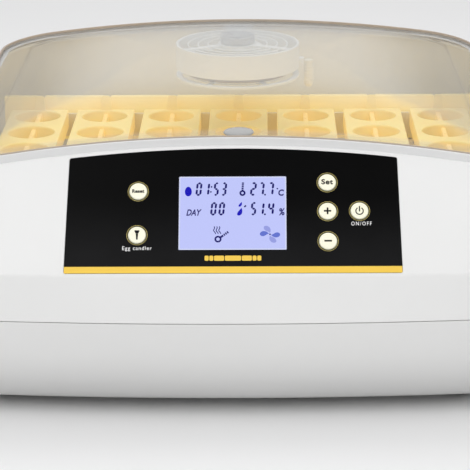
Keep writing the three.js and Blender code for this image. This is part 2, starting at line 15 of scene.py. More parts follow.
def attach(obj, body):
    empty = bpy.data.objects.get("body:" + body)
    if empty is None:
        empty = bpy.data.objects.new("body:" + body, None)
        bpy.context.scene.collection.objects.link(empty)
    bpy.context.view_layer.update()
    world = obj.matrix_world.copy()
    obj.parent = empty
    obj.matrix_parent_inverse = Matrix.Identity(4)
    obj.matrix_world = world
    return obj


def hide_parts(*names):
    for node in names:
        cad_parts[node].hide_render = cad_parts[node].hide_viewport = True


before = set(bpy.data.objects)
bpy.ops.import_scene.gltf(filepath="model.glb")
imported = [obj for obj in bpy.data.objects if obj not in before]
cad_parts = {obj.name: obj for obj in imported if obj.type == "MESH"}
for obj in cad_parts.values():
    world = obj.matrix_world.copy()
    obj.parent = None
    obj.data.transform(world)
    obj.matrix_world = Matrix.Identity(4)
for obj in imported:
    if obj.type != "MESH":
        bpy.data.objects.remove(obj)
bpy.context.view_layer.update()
MM = 0.001
rng = np.random.default_rng(7)

# ------------------------------------------------------------------ dimensions
LEAN = math.radians(38)
SINL, COSL = math.sin(LEAN), math.cos(LEAN)
PANEL_Y, BAND_Z, TOP_S, ARCH = -256.0, 117.5, 104.5, 2150.0
RIM_Y = PANEL_Y + TOP_S * SINL
RIM_Z = BAND_Z + TOP_S * COSL
RIM_BULGE = -172 * 172 * SINL / ARCH
LCD = (-40.6, 39.9, 21.2, 79.9)
BUTTONS = {
    "reset": (-71, 67.7),
    "candler": (-71.4, 32.9),
    "set": (70.5, 74.4),
    "plus": (70.5, 51.4),
    "minus": (70.6, 27.7),
    "power": (94.3, 51.6),
}
PANEL = Matrix(
    (
        (MM, 0, 0, 0),
        (0, SINL * MM, -COSL * MM, PANEL_Y * MM),
        (0, COSL * MM, SINL * MM, BAND_Z * MM),
        (0, 0, 0, 1),
    )
)  # (u, s, n) in mm to metres


def rim_z(x):
    return RIM_Z - x * x * COSL / ARCH


# ------------------------------------------------------------------- materials
def _tree(name):
    m = bpy.data.materials.new(name)
    m.use_nodes = True
    t = m.node_tree
    t.nodes.clear()
    return m, t


def _n(t, kind, **kw):
    node = t.nodes.new(kind)
    for k, v in kw.items():
        setattr(node, k, v)
    return node


def _in(node, **kw):
    for k, v in kw.items():
        node.inputs[k.replace("_", " ")].default_value = v
    return node


def rgba(c):
    return (c[0], c[1], c[2], 1.0)


def lin(r, g, b):
    """sRGB 0..255 to linear."""

    def f(v):
        v /= 255
        return v / 12.92 if v <= 0.04045 else ((v + 0.055) / 1.055) ** 2.4

    return (f(r), f(g), f(b))


def plastic(
    name,
    color,
    rough=0.35,
    var=0.03,
    scale=60,
    grain=2600,
    grain_h=0.006,
    cloud_h=0.0,
    spec=0.5,
    coat=0.0,
    coat_rough=0.1,
    metallic=0.0,
    sss=0.0,
    emit=None,
    emit_s=0.0,
    rough_var=0.05,
    streak=None,
    painted_shade_by_height=None,
):
    """Moulded plastic or metal: cloudy tone, mottled gloss and a fine moulded grain. An optional height ramp paints
    shade into the base colour.
    """
    m, t = _tree(name)
    out = _n(t, "ShaderNodeOutputMaterial")
    p = _n(t, "ShaderNodeBsdfPrincipled")
    t.links.new(p.outputs[0], out.inputs[0])
    co = _n(t, "ShaderNodeTexCoord")
    src = co.outputs["Object"]
    if streak:
        mp = _n(t, "ShaderNodeMapping")
        mp.inputs["Scale"].default_value = streak
        t.links.new(src, mp.inputs["Vector"])
        src = mp.outputs["Vector"]
    cloud = _in(_n(t, "ShaderNodeTexNoise"), Scale=scale, Detail=4.0, Roughness=0.6)
    t.links.new(src, cloud.inputs["Vector"])
    ramp = _n(t, "ShaderNodeValToRGB")
    lo = [max(0, c * (1 - var)) for c in color]
    hi = [min(1, c * (1 + var)) for c in color]
    ramp.color_ramp.elements[0].position = 0.3
    ramp.color_ramp.elements[1].position = 0.7
    ramp.color_ramp.elements[0].color = rgba(lo)
    ramp.color_ramp.elements[1].color = rgba(hi)
    t.links.new(cloud.outputs["Fac"], ramp.inputs["Fac"])
    if painted_shade_by_height:  # painted shade: the base colour is scaled by height, (z low, z high, factor low, factor high)
        sp = _n(t, "ShaderNodeSeparateXYZ")
        t.links.new(co.outputs["Object"], sp.inputs[0])
        painted_shade_ramp = _n(t, "ShaderNodeMapRange", interpolation_type="SMOOTHSTEP")
        for key, val in zip(("From Min", "From Max", "To Min", "To Max"), painted_shade_by_height):
            painted_shade_ramp.inputs[key].default_value = val
        t.links.new(sp.outputs["Z"], painted_shade_ramp.inputs["Value"])
        vm = _n(t, "ShaderNodeVectorMath", operation="SCALE")
        t.links.new(ramp.outputs["Color"], vm.inputs[0])
        t.links.new(painted_shade_ramp.outputs["Result"], vm.inputs["Scale"])
        t.links.new(vm.outputs["Vector"], p.inputs["Base Color"])
    else:
        t.links.new(ramp.outputs["Color"], p.inputs["Base Color"])
    rr = _n(t, "ShaderNodeMapRange")
    rr.inputs["From Min"].default_value = 0.3
    rr.inputs["From Max"].default_value = 0.7
    rr.inputs["To Min"].default_value = max(0.02, rough - rough_var)
    rr.inputs["To Max"].default_value = min(1, rough + rough_var)
    t.links.new(cloud.outputs["Fac"], rr.inputs["Value"])
    t.links.new(rr.outputs["Result"], p.inputs["Roughness"])
    fine = _in(_n(t, "ShaderNodeTexNoise"), Scale=grain, Detail=2.0, Roughness=0.5)
    t.links.new(src if streak else co.outputs["Object"], fine.inputs["Vector"])
    b = _n(t, "ShaderNodeBump")
    b.inputs["Strength"].default_value = 0.35
    b.inputs["Distance"].default_value = grain_h * MM
    t.links.new(fine.outputs["Fac"], b.inputs["Height"])
    last = b
    if cloud_h:
        b2 = _n(t, "ShaderNodeBump")
        b2.inputs["Strength"].default_value = 0.4
        b2.inputs["Distance"].default_value = cloud_h * MM
        t.links.new(cloud.outputs["Fac"], b2.inputs["Height"])
        t.links.new(b.outputs["Normal"], b2.inputs["Normal"])
        last = b2
    t.links.new(last.outputs["Normal"], p.inputs["Normal"])
    p.inputs["Metallic"].default_value = metallic
    p.inputs["Specular IOR Level"].default_value = spec
    p.inputs["Coat Weight"].default_value = coat
    p.inputs["Coat Roughness"].default_value = coat_rough
    if sss:
        p.inputs["Subsurface Weight"].default_value = sss
        p.inputs["Subsurface Radius"].default_value = (1.0, 0.7, 0.4)
        p.inputs["Subsurface Scale"].default_value = 0.004
    if emit:
        p.inputs["Emission Color"].default_value = rgba(emit)
        p.inputs["Emission Strength"].default_value = emit_s
    return m


def clear(name, tint=(0.97, 0.985, 0.98), rough=0.03, base=0.03, haze=0.0):
    """Thin clear sheet: see-through, with a Fresnel gloss and a faint moulding haze."""
    m, t = _tree(name)
    out = _n(t, "ShaderNodeOutputMaterial")
    tr = _n(t, "ShaderNodeBsdfTransparent")
    tr.inputs["Color"].default_value = rgba(tint)
    gl = _n(t, "ShaderNodeBsdfGlossy")
    gl.inputs["Roughness"].default_value = rough
    fr = _n(t, "ShaderNodeLayerWeight")
    fr.inputs["Blend"].default_value = 0.5
    pw = _n(t, "ShaderNodeMath", operation="POWER")
    pw.inputs[1].default_value = 5.0
    t.links.new(fr.outputs["Facing"], pw.inputs[0])
    ml = _n(t, "ShaderNodeMath", operation="MULTIPLY_ADD")
    ml.inputs[1].default_value = 0.8
    ml.inputs[2].default_value = 0.025
    t.links.new(pw.outputs[0], ml.inputs[0])
    mix = _n(t, "ShaderNodeMixShader")
    t.links.new(ml.outputs[0], mix.inputs[0])
    t.links.new(tr.outputs[0], mix.inputs[1])
    t.links.new(gl.outputs[0], mix.inputs[2])
    co = _n(t, "ShaderNodeTexCoord")
    no = _in(_n(t, "ShaderNodeTexNoise"), Scale=18.0, Detail=3.0, Roughness=0.5)
    t.links.new(co.outputs["Object"], no.inputs["Vector"])
    b = _n(t, "ShaderNodeBump")
    b.inputs["Strength"].default_value = 0.12
    b.inputs["Distance"].default_value = 0.1 * MM
    t.links.new(no.outputs["Fac"], b.inputs["Height"])
    t.links.new(b.outputs["Normal"], gl.inputs["Normal"])
    df = _n(t, "ShaderNodeBsdfDiffuse")
    df.inputs["Color"].default_value = (0.95, 0.96, 0.97, 1)
    mp = _n(t, "ShaderNodeMapRange")
    mp.inputs["From Min"].default_value = 0.3
    mp.inputs["From Max"].default_value = 0.7
    mp.inputs["To Min"].default_value = base * 0.6
    mp.inputs["To Max"].default_value = base * 1.4
    t.links.new(no.outputs["Fac"], mp.inputs["Value"])
    veil = mp.outputs["Result"]
    if haze:  # a milky moulding haze that grows toward the top of the crown
        sep = _n(t, "ShaderNodeSeparateXYZ")
        t.links.new(co.outputs["Object"], sep.inputs[0])
        sq = _n(t, "ShaderNodeMath", operation="MULTIPLY")
        t.links.new(sep.outputs["X"], sq.inputs[0])
        t.links.new(sep.outputs["X"], sq.inputs[1])
        up = _n(t, "ShaderNodeMath", operation="MULTIPLY_ADD")
        up.inputs[1].default_value = COSL / (ARCH * MM)
        t.links.new(sq.outputs[0], up.inputs[0])
        t.links.new(sep.outputs["Z"], up.inputs[2])
        hz = _n(t, "ShaderNodeMapRange", interpolation_type="SMOOTHSTEP")
        hz.inputs["From Min"].default_value = (RIM_Z + 13) * MM
        hz.inputs["From Max"].default_value = (RIM_Z + 25) * MM
        hz.inputs["To Min"].default_value = 0.0
        hz.inputs["To Max"].default_value = haze
        t.links.new(up.outputs[0], hz.inputs["Value"])
        ad = _n(t, "ShaderNodeMath", operation="ADD")
        t.links.new(mp.outputs["Result"], ad.inputs[0])
        t.links.new(hz.outputs["Result"], ad.inputs[1])
        veil = ad.outputs[0]
    mix2 = _n(t, "ShaderNodeMixShader")
    t.links.new(veil, mix2.inputs[0])
    t.links.new(mix.outputs[0], mix2.inputs[1])
    t.links.new(df.outputs[0], mix2.inputs[2])
    t.links.new(mix2.outputs[0], out.inputs[0])
    return m


MAT = {}
MAT["white"] = plastic("housing_plastic", lin(243, 243, 242), 0.34, 0.008, 14, 2200, 0.008, spec=0.45)
# painted shade: the tub's colour darkens towards its underside through the height ramp
MAT["base"] = plastic("tub_plastic", lin(233, 233, 232), 0.42, 0.008, 14, 2000, 0.01, spec=0.4, painted_shade_by_height=(0.008, 0.062, 0.8, 1.0))
MAT["rim"] = plastic("rim_plastic", lin(232, 232, 232), 0.4, 0.01, 20, 2200, 0.008, spec=0.4)
MAT["inner"] = plastic("inner_plastic", lin(240, 240, 238), 0.45, 0.01, 20, 2000, 0.01)
MAT["rubber"] = plastic("seal_rubber", lin(176, 166, 158), 0.7, 0.05, 90, 1500, 0.02, spec=0.3)
MAT["foot"] = plastic("foot_rubber", (0.022, 0.022, 0.023), 0.85, 0.15, 120, 900, 0.05, spec=0.25)
# painted shade: the black film is lighter low and darker towards its top through the height ramp
MAT["film"] = plastic("panel_film", (0.0075, 0.0075, 0.008), 0.3, 0.12, 30, 1800, 0.004, spec=0.1, rough_var=0.03, painted_shade_by_height=(0.122, 0.172, 1.3, 0.1))
MAT["stripe"] = plastic("stripe_ink", lin(255, 212, 84), 0.4, 0.02, 50, 1800, 0.004, spec=0.35)
MAT["gold"] = plastic("ring_ink", lin(226, 208, 128), 0.35, 0.06, 300, 2500, 0.004, spec=0.5)
MAT["olive"] = plastic("ring_ink_olive", lin(112, 110, 52), 0.45, 0.06, 300, 2500, 0.004, spec=0.3)
MAT["border"] = plastic("window_border", lin(186, 172, 158), 0.45, 0.03, 90, 1800, 0.006, spec=0.4)
# painted warm shade and bounce light: the water tray gets a tan tint and a faint glow, seen through the gaps between
# trays
MAT["water"] = plastic("water_tray_plastic", lin(214, 186, 158), 0.45, 0.03, 40, 1700, 0.01, emit=lin(190, 160, 130), emit_s=0.06)
# painted light: the white label ink glows faintly
MAT["label"] = plastic("label_ink", lin(255, 255, 255), 0.5, 0.01, 300, 2500, 0.003, spec=0.3, emit=(1, 1, 1), emit_s=0.12)
MAT["print"] = plastic("button_ink", (0.006, 0.006, 0.008), 0.5, 0.1, 300, 2500, 0.003, spec=0.15)
# painted light: the button caps glow faintly
MAT["cream"] = plastic("button_plastic", lin(252, 249, 226), 0.36, 0.012, 90, 2500, 0.006, sss=0.08, emit=lin(255, 253, 232), emit_s=0.1)
# painted light: the trays glow warm as if lit from inside
MAT["tray"] = plastic("tray_plastic", lin(255, 232, 168), 0.42, 0.025, 40, 1700, 0.012, sss=0.2, emit=lin(248, 222, 152), emit_s=0.17)
MAT["strip"] = plastic("candler_diffuser", lin(255, 226, 160), 0.4, 0.03, 120, 2200, 0.006, emit=lin(250, 205, 130), emit_s=0.22)
# painted light: the rack rails and floor grid glow warm
MAT["ivory"] = plastic("rack_plastic", lin(255, 234, 170), 0.45, 0.025, 40, 1700, 0.012, emit=lin(248, 226, 152), emit_s=0.24)
MAT["drive"] = plastic("drive_plastic", lin(240, 232, 208), 0.42, 0.03, 60, 1700, 0.01)
MAT["steel"] = plastic("brushed_steel", (0.62, 0.63, 0.65), 0.3, 0.06, 60, 500, 0.01, metallic=1.0, streak=(1, 1, 12))
MAT["heater"] = plastic("heater_sheath", (0.36, 0.33, 0.3), 0.38, 0.12, 200, 900, 0.02, metallic=1.0)
MAT["fan"] = plastic("impeller_plastic", lin(236, 240, 242), 0.4, 0.02, 60, 1700, 0.01)
MAT["dark"] = plastic("dark_plastic", (0.02, 0.02, 0.022), 0.45, 0.12, 90, 1400, 0.02)
MAT["board"] = plastic("board_laminate", (0.02, 0.13, 0.05), 0.35, 0.18, 260, 1200, 0.02, coat=0.4)
MAT["copper"] = plastic("tinned_pad", (0.7, 0.66, 0.55), 0.3, 0.08, 300, 900, 0.02, metallic=1.0)
MAT["chip"] = plastic("chip_epoxy", (0.018, 0.018, 0.018), 0.55, 0.1, 300, 2400, 0.01)
MAT["knob"] = plastic("knob_smoke", lin(175, 175, 174), 0.22, 0.03, 80, 1800, 0.006, spec=0.6, coat=0.35)
MAT["lcd"] = plastic("lcd_backlight", (0.02, 0.02, 0.03), 0.6, 0.02, 40, 1200, 0.002, spec=0.0, emit=lin(198, 205, 255), emit_s=0.97)
MAT["glyph"] = plastic("lcd_ink", (0.002, 0.002, 0.02), 0.6, 0.05, 200, 2400, 0.001, spec=0.0, emit=lin(14, 10, 116), emit_s=0.7)
MAT["glyph_blue"] = plastic("lcd_ink_blue", (0.0, 0.0, 0.05), 0.6, 0.05, 200, 2400, 0.001, spec=0.0, emit=lin(12, 4, 186), emit_s=0.9)
MAT["glyph_mid"] = plastic("lcd_ink_mid", (0.01, 0.012, 0.05), 0.6, 0.05, 200, 2400, 0.001, spec=0.0, emit=lin(100, 118, 208), emit_s=0.94)
MAT["glyph_pale"] = plastic("lcd_ink_pale", (0.02, 0.02, 0.04), 0.6, 0.05, 200, 2400, 0.001, spec=0.0, emit=lin(156, 164, 230), emit_s=0.94)
MAT["glyph_grey"] = plastic("lcd_ink_grey", (0.004, 0.004, 0.01), 0.6, 0.05, 200, 2400, 0.001, spec=0.0, emit=lin(44, 42, 116), emit_s=0.9)
MAT["glow"] = plastic("lcd_edge", (0.02, 0.02, 0.03), 0.6, 0.01, 200, 2400, 0.001, spec=0.0, emit=lin(226, 232, 255), emit_s=0.97)
MAT["glass"] = clear("lcd_glass", (0.985, 0.985, 1.0), 0.04, 0.0)
MAT["window"] = clear("window_sheet", (0.99, 0.993, 0.99), 0.03, 0.004, haze=0.14)


# -------------------------------------------------------------------- builders
def make(name, verts, faces, mats, body, slot=None, replaces=(), scale=MM, matrix=None, sharp=34, mat_index=None, weighted=True, doubles=0.0):
    """A piece from points in mm. Sharp edges by angle, smooth elsewhere."""
    me = bpy.data.meshes.new(name)
    bm = bmesh.new()
    vs = []
    for v in verts:
        co = Vector(v)
        co = matrix @ co if matrix is not None else co * scale
        vs.append(bm.verts.new(co))
    for k, f in enumerate(faces):
        try:
            face = bm.faces.new([vs[i] for i in f])
        except ValueError:
            continue
        if mat_index is not None:
            face.material_index = mat_index[k]
    if doubles:
        bmesh.ops.remove_doubles(bm, verts=bm.verts, dist=doubles * MM)
    return finish_bm(name, bm, mats, body, replaces, sharp, weighted, me)


def finish_bm(name, bm, mats, body, replaces=(), sharp=34, weighted=True, me=None, recalc=True):
    me = me or bpy.data.meshes.new(name)
    if recalc:
        bmesh.ops.recalc_face_normals(bm, faces=bm.faces)
    lim = math.radians(sharp)
    for f in bm.faces:
        f.smooth = True
    for e in bm.edges:
        e.smooth = not (len(e.link_faces) != 2 or e.calc_face_angle(0) > lim)
    bm.to_mesh(me)
    bm.free()
    o = bpy.data.objects.new(name, me)
    bpy.context.scene.collection.objects.link(o)
    for m in mats if isinstance(mats, (list, tuple)) else [mats]:
        me.materials.append(MAT[m] if isinstance(m, str) else m)
    if weighted:
        w = o.modifiers.new("weighted", "WEIGHTED_NORMAL")
        w.keep_sharp = True
        w.weight = 50
    if body:
        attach(o, body)
    if replaces:
        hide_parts(*([replaces] if isinstance(replaces, str) else replaces))
    return o


def booled(o, cutters, op="DIFFERENCE", sharp=34):
    """Applies boolean cuts with the exact solver and leaves a clean mesh."""
    mods = []
    for c in cutters:
        m = o.modifiers.new("cut", "BOOLEAN")
        m.operation, m.solver, m.object = op, "EXACT", c
        mods.append(m)
    others = [m for m in o.modifiers if m.type == "WEIGHTED_NORMAL"]
    for m in others:
        m.show_viewport = False
    bpy.context.view_layer.update()
    dg = bpy.context.evaluated_depsgraph_get()
    me = bpy.data.meshes.new_from_object(o.evaluated_get(dg))
    for m in mods:
        o.modifiers.remove(m)
    for m in others:
        m.show_viewport = True
    mats = [s for s in o.data.materials]
    bm = bmesh.new()
    bm.from_mesh(me)
    bmesh.ops.remove_doubles(bm, verts=bm.verts, dist=1e-6)
    bmesh.ops.dissolve_degenerate(bm, edges=bm.edges, dist=1e-6)
    lim = math.radians(sharp)
    for f in bm.faces:
        f.smooth = True
        if f.material_index >= len(mats):
            f.material_index = 0
    for e in bm.edges:
        e.smooth = not (len(e.link_faces) != 2 or e.calc_face_angle(0) > lim)
    o.data.clear_geometry()
    bm.to_mesh(o.data)
    bm.free()
    bpy.data.meshes.remove(me)
    for c in cutters:
        bpy.data.objects.remove(c)
    return o


def tool(verts, faces, matrix=None):
    """A cutter or joiner object."""
    me = bpy.data.meshes.new("tool")
    bm = bmesh.new()
    vs = [bm.verts.new(matrix @ Vector(v) if matrix is not None else Vector(v) * MM) for v in verts]
    for f in faces:
        bm.faces.new([vs[i] for i in f])
    bmesh.ops.recalc_face_normals(bm, faces=bm.faces)
    bm.to_mesh(me)
    bm.free()
    o = bpy.data.objects.new("tool", me)
    bpy.context.scene.collection.objects.link(o)
    return o


def loft_faces(nring, n, closed, cap=False, flip=False, start=0):
    faces = []
    last = nring if closed else nring - 1
    for k in range(last):
        a, b = start + k * n, start + ((k + 1) % nring) * n
        for i in range(n):
            j = (i + 1) % n
            faces.append((a + i, a + j, b + j, b + i))
    if cap:
        faces.append(tuple(start + i for i in range(n))[::-1])
        faces.append(tuple(start + (nring - 1) * n + i for i in range(n)))
    return faces


def prism(outline, n0, n1):
    """Vertices and faces of an outline in the first two axes, from n0 to n1."""
    k = len(outline)
    v = [(x, y, n0) for x, y in outline] + [(x, y, n1) for x, y in outline]
    f = [(i, (i + 1) % k, k + (i + 1) % k, k + i) for i in range(k)]
    f += [tuple(range(k))[::-1], tuple(range(k, 2 * k))]
    return v, f


def rrect(x0, x1, y0, y1, r, n=6):
    pts = []
    for cx, cy, a in ((x1 - r, y0 + r, -90), (x1 - r, y1 - r, 0), (x0 + r, y1 - r, 90), (x0 + r, y0 + r, 180)):
        for i in range(n + 1):
            t = math.radians(a + 90 * i / n)
            pts.append((cx + r * math.cos(t), cy + r * math.sin(t)))
    return pts


def circ(cx, cy, r, n=48, a0=0.0):
    return [(cx + r * math.cos(a0 + 2 * math.pi * i / n), cy + r * math.sin(a0 + 2 * math.pi * i / n)) for i in range(n)]


def lathe(profile, n=64, axis="z", at=(0, 0, 0), closed=False):
    """Points and faces of a turned profile [(r, h)]. Ends on the axis are closed."""
    v, f = [], []
    ids = []
    for r, h in profile:
        if r < 1e-6:
            ids.append([len(v)])
            v.append((0, 0, h))
        else:
            ids.append(list(range(len(v), len(v) + n)))
            v += [(r * math.cos(2 * math.pi * i / n), r * math.sin(2 * math.pi * i / n), h) for i in range(n)]
    pairs = list(zip(ids, ids[1:])) + ([(ids[-1], ids[0])] if closed else [])
    for a, b in pairs:
        for i in range(n):
            j = (i + 1) % n
            if len(a) == 1 and len(b) == 1:
                continue
            if len(a) == 1:
                f.append((a[0], b[i], b[j]))
            elif len(b) == 1:
                f.append((a[i], a[j], b[0]))
            else:
                f.append((a[i], a[j], b[j], b[i]))
    out = []
    for x, y, z in v:
        if axis == "x":
            x, y, z = z, x, y
        elif axis == "y":
            x, y, z = x, z, -y
        out.append((x + at[0], y + at[1], z + at[2]))
    return out, f


def rounded(profile, r=0.5, seg=3, closed=False):
    """Rounds the corners of a 2D polyline."""
    pts = [np.array(p, float) for p in profile]
    out = []
    n = len(pts)
    for i, p in enumerate(pts):
        if not closed and i in (0, n - 1):
            out.append(tuple(p))
            continue
        a, b = pts[i - 1] - p, pts[(i + 1) % n] - p
        la, lb = np.linalg.norm(a), np.linalg.norm(b)
        if la < 1e-9 or lb < 1e-9 or abs(float(a @ b) / (la * lb)) > 0.999:
            out.append(tuple(p))
            continue
        d = min(r, 0.45 * la, 0.45 * lb)
        pa, pb = p + a / la * d, p + b / lb * d
        for k in range(seg + 1):
            t = k / seg
            out.append(tuple(pa * (1 - t) ** 2 + 2 * p * t * (1 - t) + pb * t * t))
    return out


class Build:
    """Collects several closed shapes in one mesh."""

    def __init__(self):
        self.v, self.f, self.m = [], [], []

    def add(self, vf, matrix=None, mat=0):
        v, f = vf
        k = len(self.v)
        for p in v:
            p = Vector(p)
            if matrix is not None:
                p = matrix @ p
            self.v.append(tuple(p))
        self.f += [tuple(i + k for i in face) for face in f]
        self.m += [mat] * len(f)
        return self

    def piece(self, name, mats, body, **kw):
        return make(name, self.v, self.f, mats, body, mat_index=self.m, **kw)


def box_r(x0, x1, y0, y1, z0, z1, r=0.5, seg=2):
    """A box with every edge rounded."""
    bm = bmesh.new()
    bmesh.ops.create_cube(bm, size=1)
    for v in bm.verts:
        v.co = Vector(((x0 + x1) / 2 + v.co.x * (x1 - x0), (y0 + y1) / 2 + v.co.y * (y1 - y0), (z0 + z1) / 2 + v.co.z * (z1 - z0)))
    bmesh.ops.bevel(bm, geom=list(bm.edges), offset=r, segments=seg, profile=0.7, affect="EDGES", clamp_overlap=True)
    bm.verts.index_update()
    v = [tuple(p.co) for p in bm.verts]
    f = [tuple(p.index for p in face.verts) for face in bm.faces]
    bm.free()
    return v, f


def plate_r(outline, z0, z1, r=0.4, seg=2):
    """A plate from a closed outline (convex or not), edges rounded by shrinking rings."""
    pts = [np.array(p, float) for p in outline]
    n = len(pts)
    area = sum(pts[i][0] * pts[(i + 1) % n][1] - pts[(i + 1) % n][0] * pts[i][1] for i in range(n))
    if area < 0:
        pts = pts[::-1]
    norm = []
    for i in range(n):
        a, b = pts[i] - pts[i - 1], pts[(i + 1) % n] - pts[i]
        a, b = a / (np.linalg.norm(a) + 1e-12), b / (np.linalg.norm(b) + 1e-12)
        na, nb = np.array([a[1], -a[0]]), np.array([b[1], -b[0]])
        m = na + nb
        l = np.linalg.norm(m)
        m = m / l if l > 1e-6 else na
        c = max(0.4, float(m @ na))
        norm.append(m / c)
    rings = []
    h = z1 - z0
    r = min(r, h * 0.49)
    prof = []
    for k in range(seg + 1):
        t = math.pi / 2 * k / seg
        prof.append((r * (1 - math.sin(t)), r * (1 - math.cos(t))))
    for ins, up in prof:
        rings.append([(*(pts[i] - norm[i] * ins), z0 + up) for i in range(n)])
    for ins, up in reversed(prof):
        rings.append([(*(pts[i] - norm[i] * ins), z1 - up) for i in range(n)])
    v = [p for g in rings for p in g]
    return v, loft_faces(len(rings), n, False, cap=True)


def tube(path, r, n=12, closed=False):
    """A round tube along points, ends capped."""
    P = [Vector(p) for p in path]
    v, k = [], len(P)
    up = Vector((0, 0, 1))
    prev = None
    for i, p in enumerate(P):
        if closed:
            d = P[(i + 1) % k] - P[i - 1]
        else:
            d = P[min(i + 1, k - 1)] - P[max(i - 1, 0)]
        d.normalize()
        if prev is None:
            a = d.cross(up)
            if a.length < 1e-4:
                a = d.cross(Vector((1, 0, 0)))
        else:
            a = prev - d * prev.dot(d)
        a.normalize()
        prev = a
        b = d.cross(a)
        for j in range(n):
            t = 2 * math.pi * j / n
            v.append(tuple(p + a * (r * math.cos(t)) + b * (r * math.sin(t))))
    return v, loft_faces(k, n, closed, cap=not closed)


NF, NC, NS = 60, 14, 14


def ring(hw, yF, yB, rF, rB, bulge, z):
    """Plan outline, anticlockwise from the front's left end; same corners as the CAD part, softened."""
    pts = []
    fy = lambda x: yF + bulge * (x / 172) ** 2
    xf = hw - rF
    ye = fy(xf)
    for i in range(NF + 1):
        x = -xf + 2 * xf * i / NF
        pts.append((x, fy(x)))
    for i in range(1, NC + 1):
        t = math.pi / 2 * i / NC
        pts.append((xf + rF * math.sin(t), ye + rF * (1 - math.cos(t))))
    for i in range(1, NS + 1):
        pts.append((hw, ye + rF + (yB - rB - ye - rF) * i / NS))
    for i in range(1, NC + 1):
        t = math.pi / 2 * i / NC
        pts.append((hw - rB * (1 - math.cos(t)), yB - rB + rB * math.sin(t)))
    for i in range(1, NF + 1):
        pts.append((hw - rB - 2 * (hw - rB) * i / NF, yB))
    for i in range(1, NC + 1):
        t = math.pi / 2 * i / NC
        pts.append((-hw + rB - rB * math.sin(t), yB - rB + rB * math.cos(t)))
    for i in range(1, NS + 1):
        pts.append((-hw, yB - rB - (yB - rB - ye - rF) * i / NS))
    for i in range(1, NC):
        t = math.pi / 2 * i / NC
        pts.append((-xf - rF * math.cos(t), ye + rF * (1 - math.sin(t))))
    a = np.array(pts)
    b = a.copy()
    for k, w in ((1, 4 / 16), (2, 1 / 16)):
        b = b + w * (np.roll(a, k, 0) + np.roll(a, -k, 0) - 2 * a)
    zz = np.array([z(x) if callable(z) else z for x, y in b])
    return np.column_stack([b, zz])


def tub_ring(o, z):
    r = max(12, 40 - 0.3 * o)
    return ring(245 - o, -260 + o, 260 - o, r, r, 7.2, z)


def rim_ring(o, h):
    r = max(10, 46 - 0.6 * o)
    return ring(226 - o, RIM_Y + o, 238 - o, r, r, RIM_BULGE, lambda x: rim_z(x) + h)


def skin(rings, soft, seg=3, closed=True, extra=None):
    """Rounds the profile through control rings. soft[k] is the length rounded each side of ring k."""
    n = len(rings)
    out = []
    for k in range(n):
        P = rings[k]
        if not closed and k in (0, n - 1) or soft[k] <= 0:
            out.append(P)
            continue
        A, B = rings[k - 1] - P, rings[(k + 1) % n] - P
        la = np.linalg.norm(A, axis=1)[:, None]
        lb = np.linalg.norm(B, axis=1)[:, None]
        d = np.minimum(soft[k], np.minimum(0.45 * la, 0.45 * lb))
        pa, pb = P + A / la * d, P + B / lb * d
        for j in range(seg + 1):
            t = j / seg
            out.append(pa * (1 - t) ** 2 + 2 * P * t * (1 - t) + pb * t * t)
        if extra and extra.get(k):  # straight rings on the way to the next corner
            m = extra[k]
            nk = (k + 1) % n
            Q = rings[nk]
            C = P - Q
            lc = np.linalg.norm(C, axis=1)[:, None]
            dq = np.minimum(soft[nk], 0.45 * lc)
            qa = Q + C / lc * dq
            for j in range(1, m):
                out.append(pb + (qa - pb) * j / m)
    return out


def loft_piece(name, rings, mats, body, closed=True, cap=False, **kw):
    v = [tuple(p) for r in rings for p in r]
    return make(name, v, loft_faces(len(rings), len(rings[0]), closed, cap), mats, body, **kw)


def text_mesh(s, size, bold=0.0, shear=0.0, width=None, space=1.0):
    """Verts and faces of a flat word in mm, centred, cap height = size."""
    cu = bpy.data.curves.new("word", "FONT")
    cu.body = s
    cu.size = 1
    cu.align_x, cu.align_y = "CENTER", "CENTER"
    cu.offset = bold
    cu.shear = shear
    cu.space_character = space
    cu.resolution_u = 4
    o = bpy.data.objects.new("word", cu)
    bpy.context.scene.collection.objects.link(o)
    bpy.context.view_layer.update()
    me = bpy.data.meshes.new_from_object(o.evaluated_get(bpy.context.evaluated_depsgraph_get()))
    v = np.array([p.co[:] for p in me.vertices])
    f = [tuple(p.vertices) for p in me.polygons]
    bpy.data.objects.remove(o)
    bpy.data.curves.remove(cu)
    bpy.data.meshes.remove(me)
    lo, hi = v.min(0), v.max(0)
    v = v - (lo + hi) / 2
    k = size / (hi[1] - lo[1])
    kx = width / (hi[0] - lo[0]) if width else k
    return [(p[0] * kx, p[1] * k, 0) for p in v], f


def solid_print(vf, n0, n1):
    """Turns flat faces into a thin raised print."""
    v, f = vf
    k = len(v)
    vv = [(p[0], p[1], n1) for p in v] + [(p[0], p[1], n0) for p in v]
    ff = list(f)
    count = {}
    for face in f:
        for i in range(len(face)):
            a, b = face[i], face[(i + 1) % len(face)]
            count[(a, b)] = count.get((a, b), 0) + 1
    for (a, b) in count:
        if (b, a) not in count:
            ff.append((b, a, a + k, b + k))
    ff += [tuple(i + k for i in reversed(face)) for face in f]
    return vv, ff


def poly(points):
    """Flat face list of one outline in (u, s)."""
    return [(x, y, 0) for x, y in points], [tuple(range(len(points)))]


def moved(vf, du, ds):
    v, f = vf
    return [(p[0] + du, p[1] + ds, p[2]) for p in v], f


def annulus(cx, cy, r0, r1, n=64):
    v = [(x, y, 0) for x, y in circ(cx, cy, r0, n)] + [(x, y, 0) for x, y in circ(cx, cy, r1, n)]
    f = [(i, n + i, n + (i + 1) % n, (i + 1) % n) for i in range(n)]
    return v, f


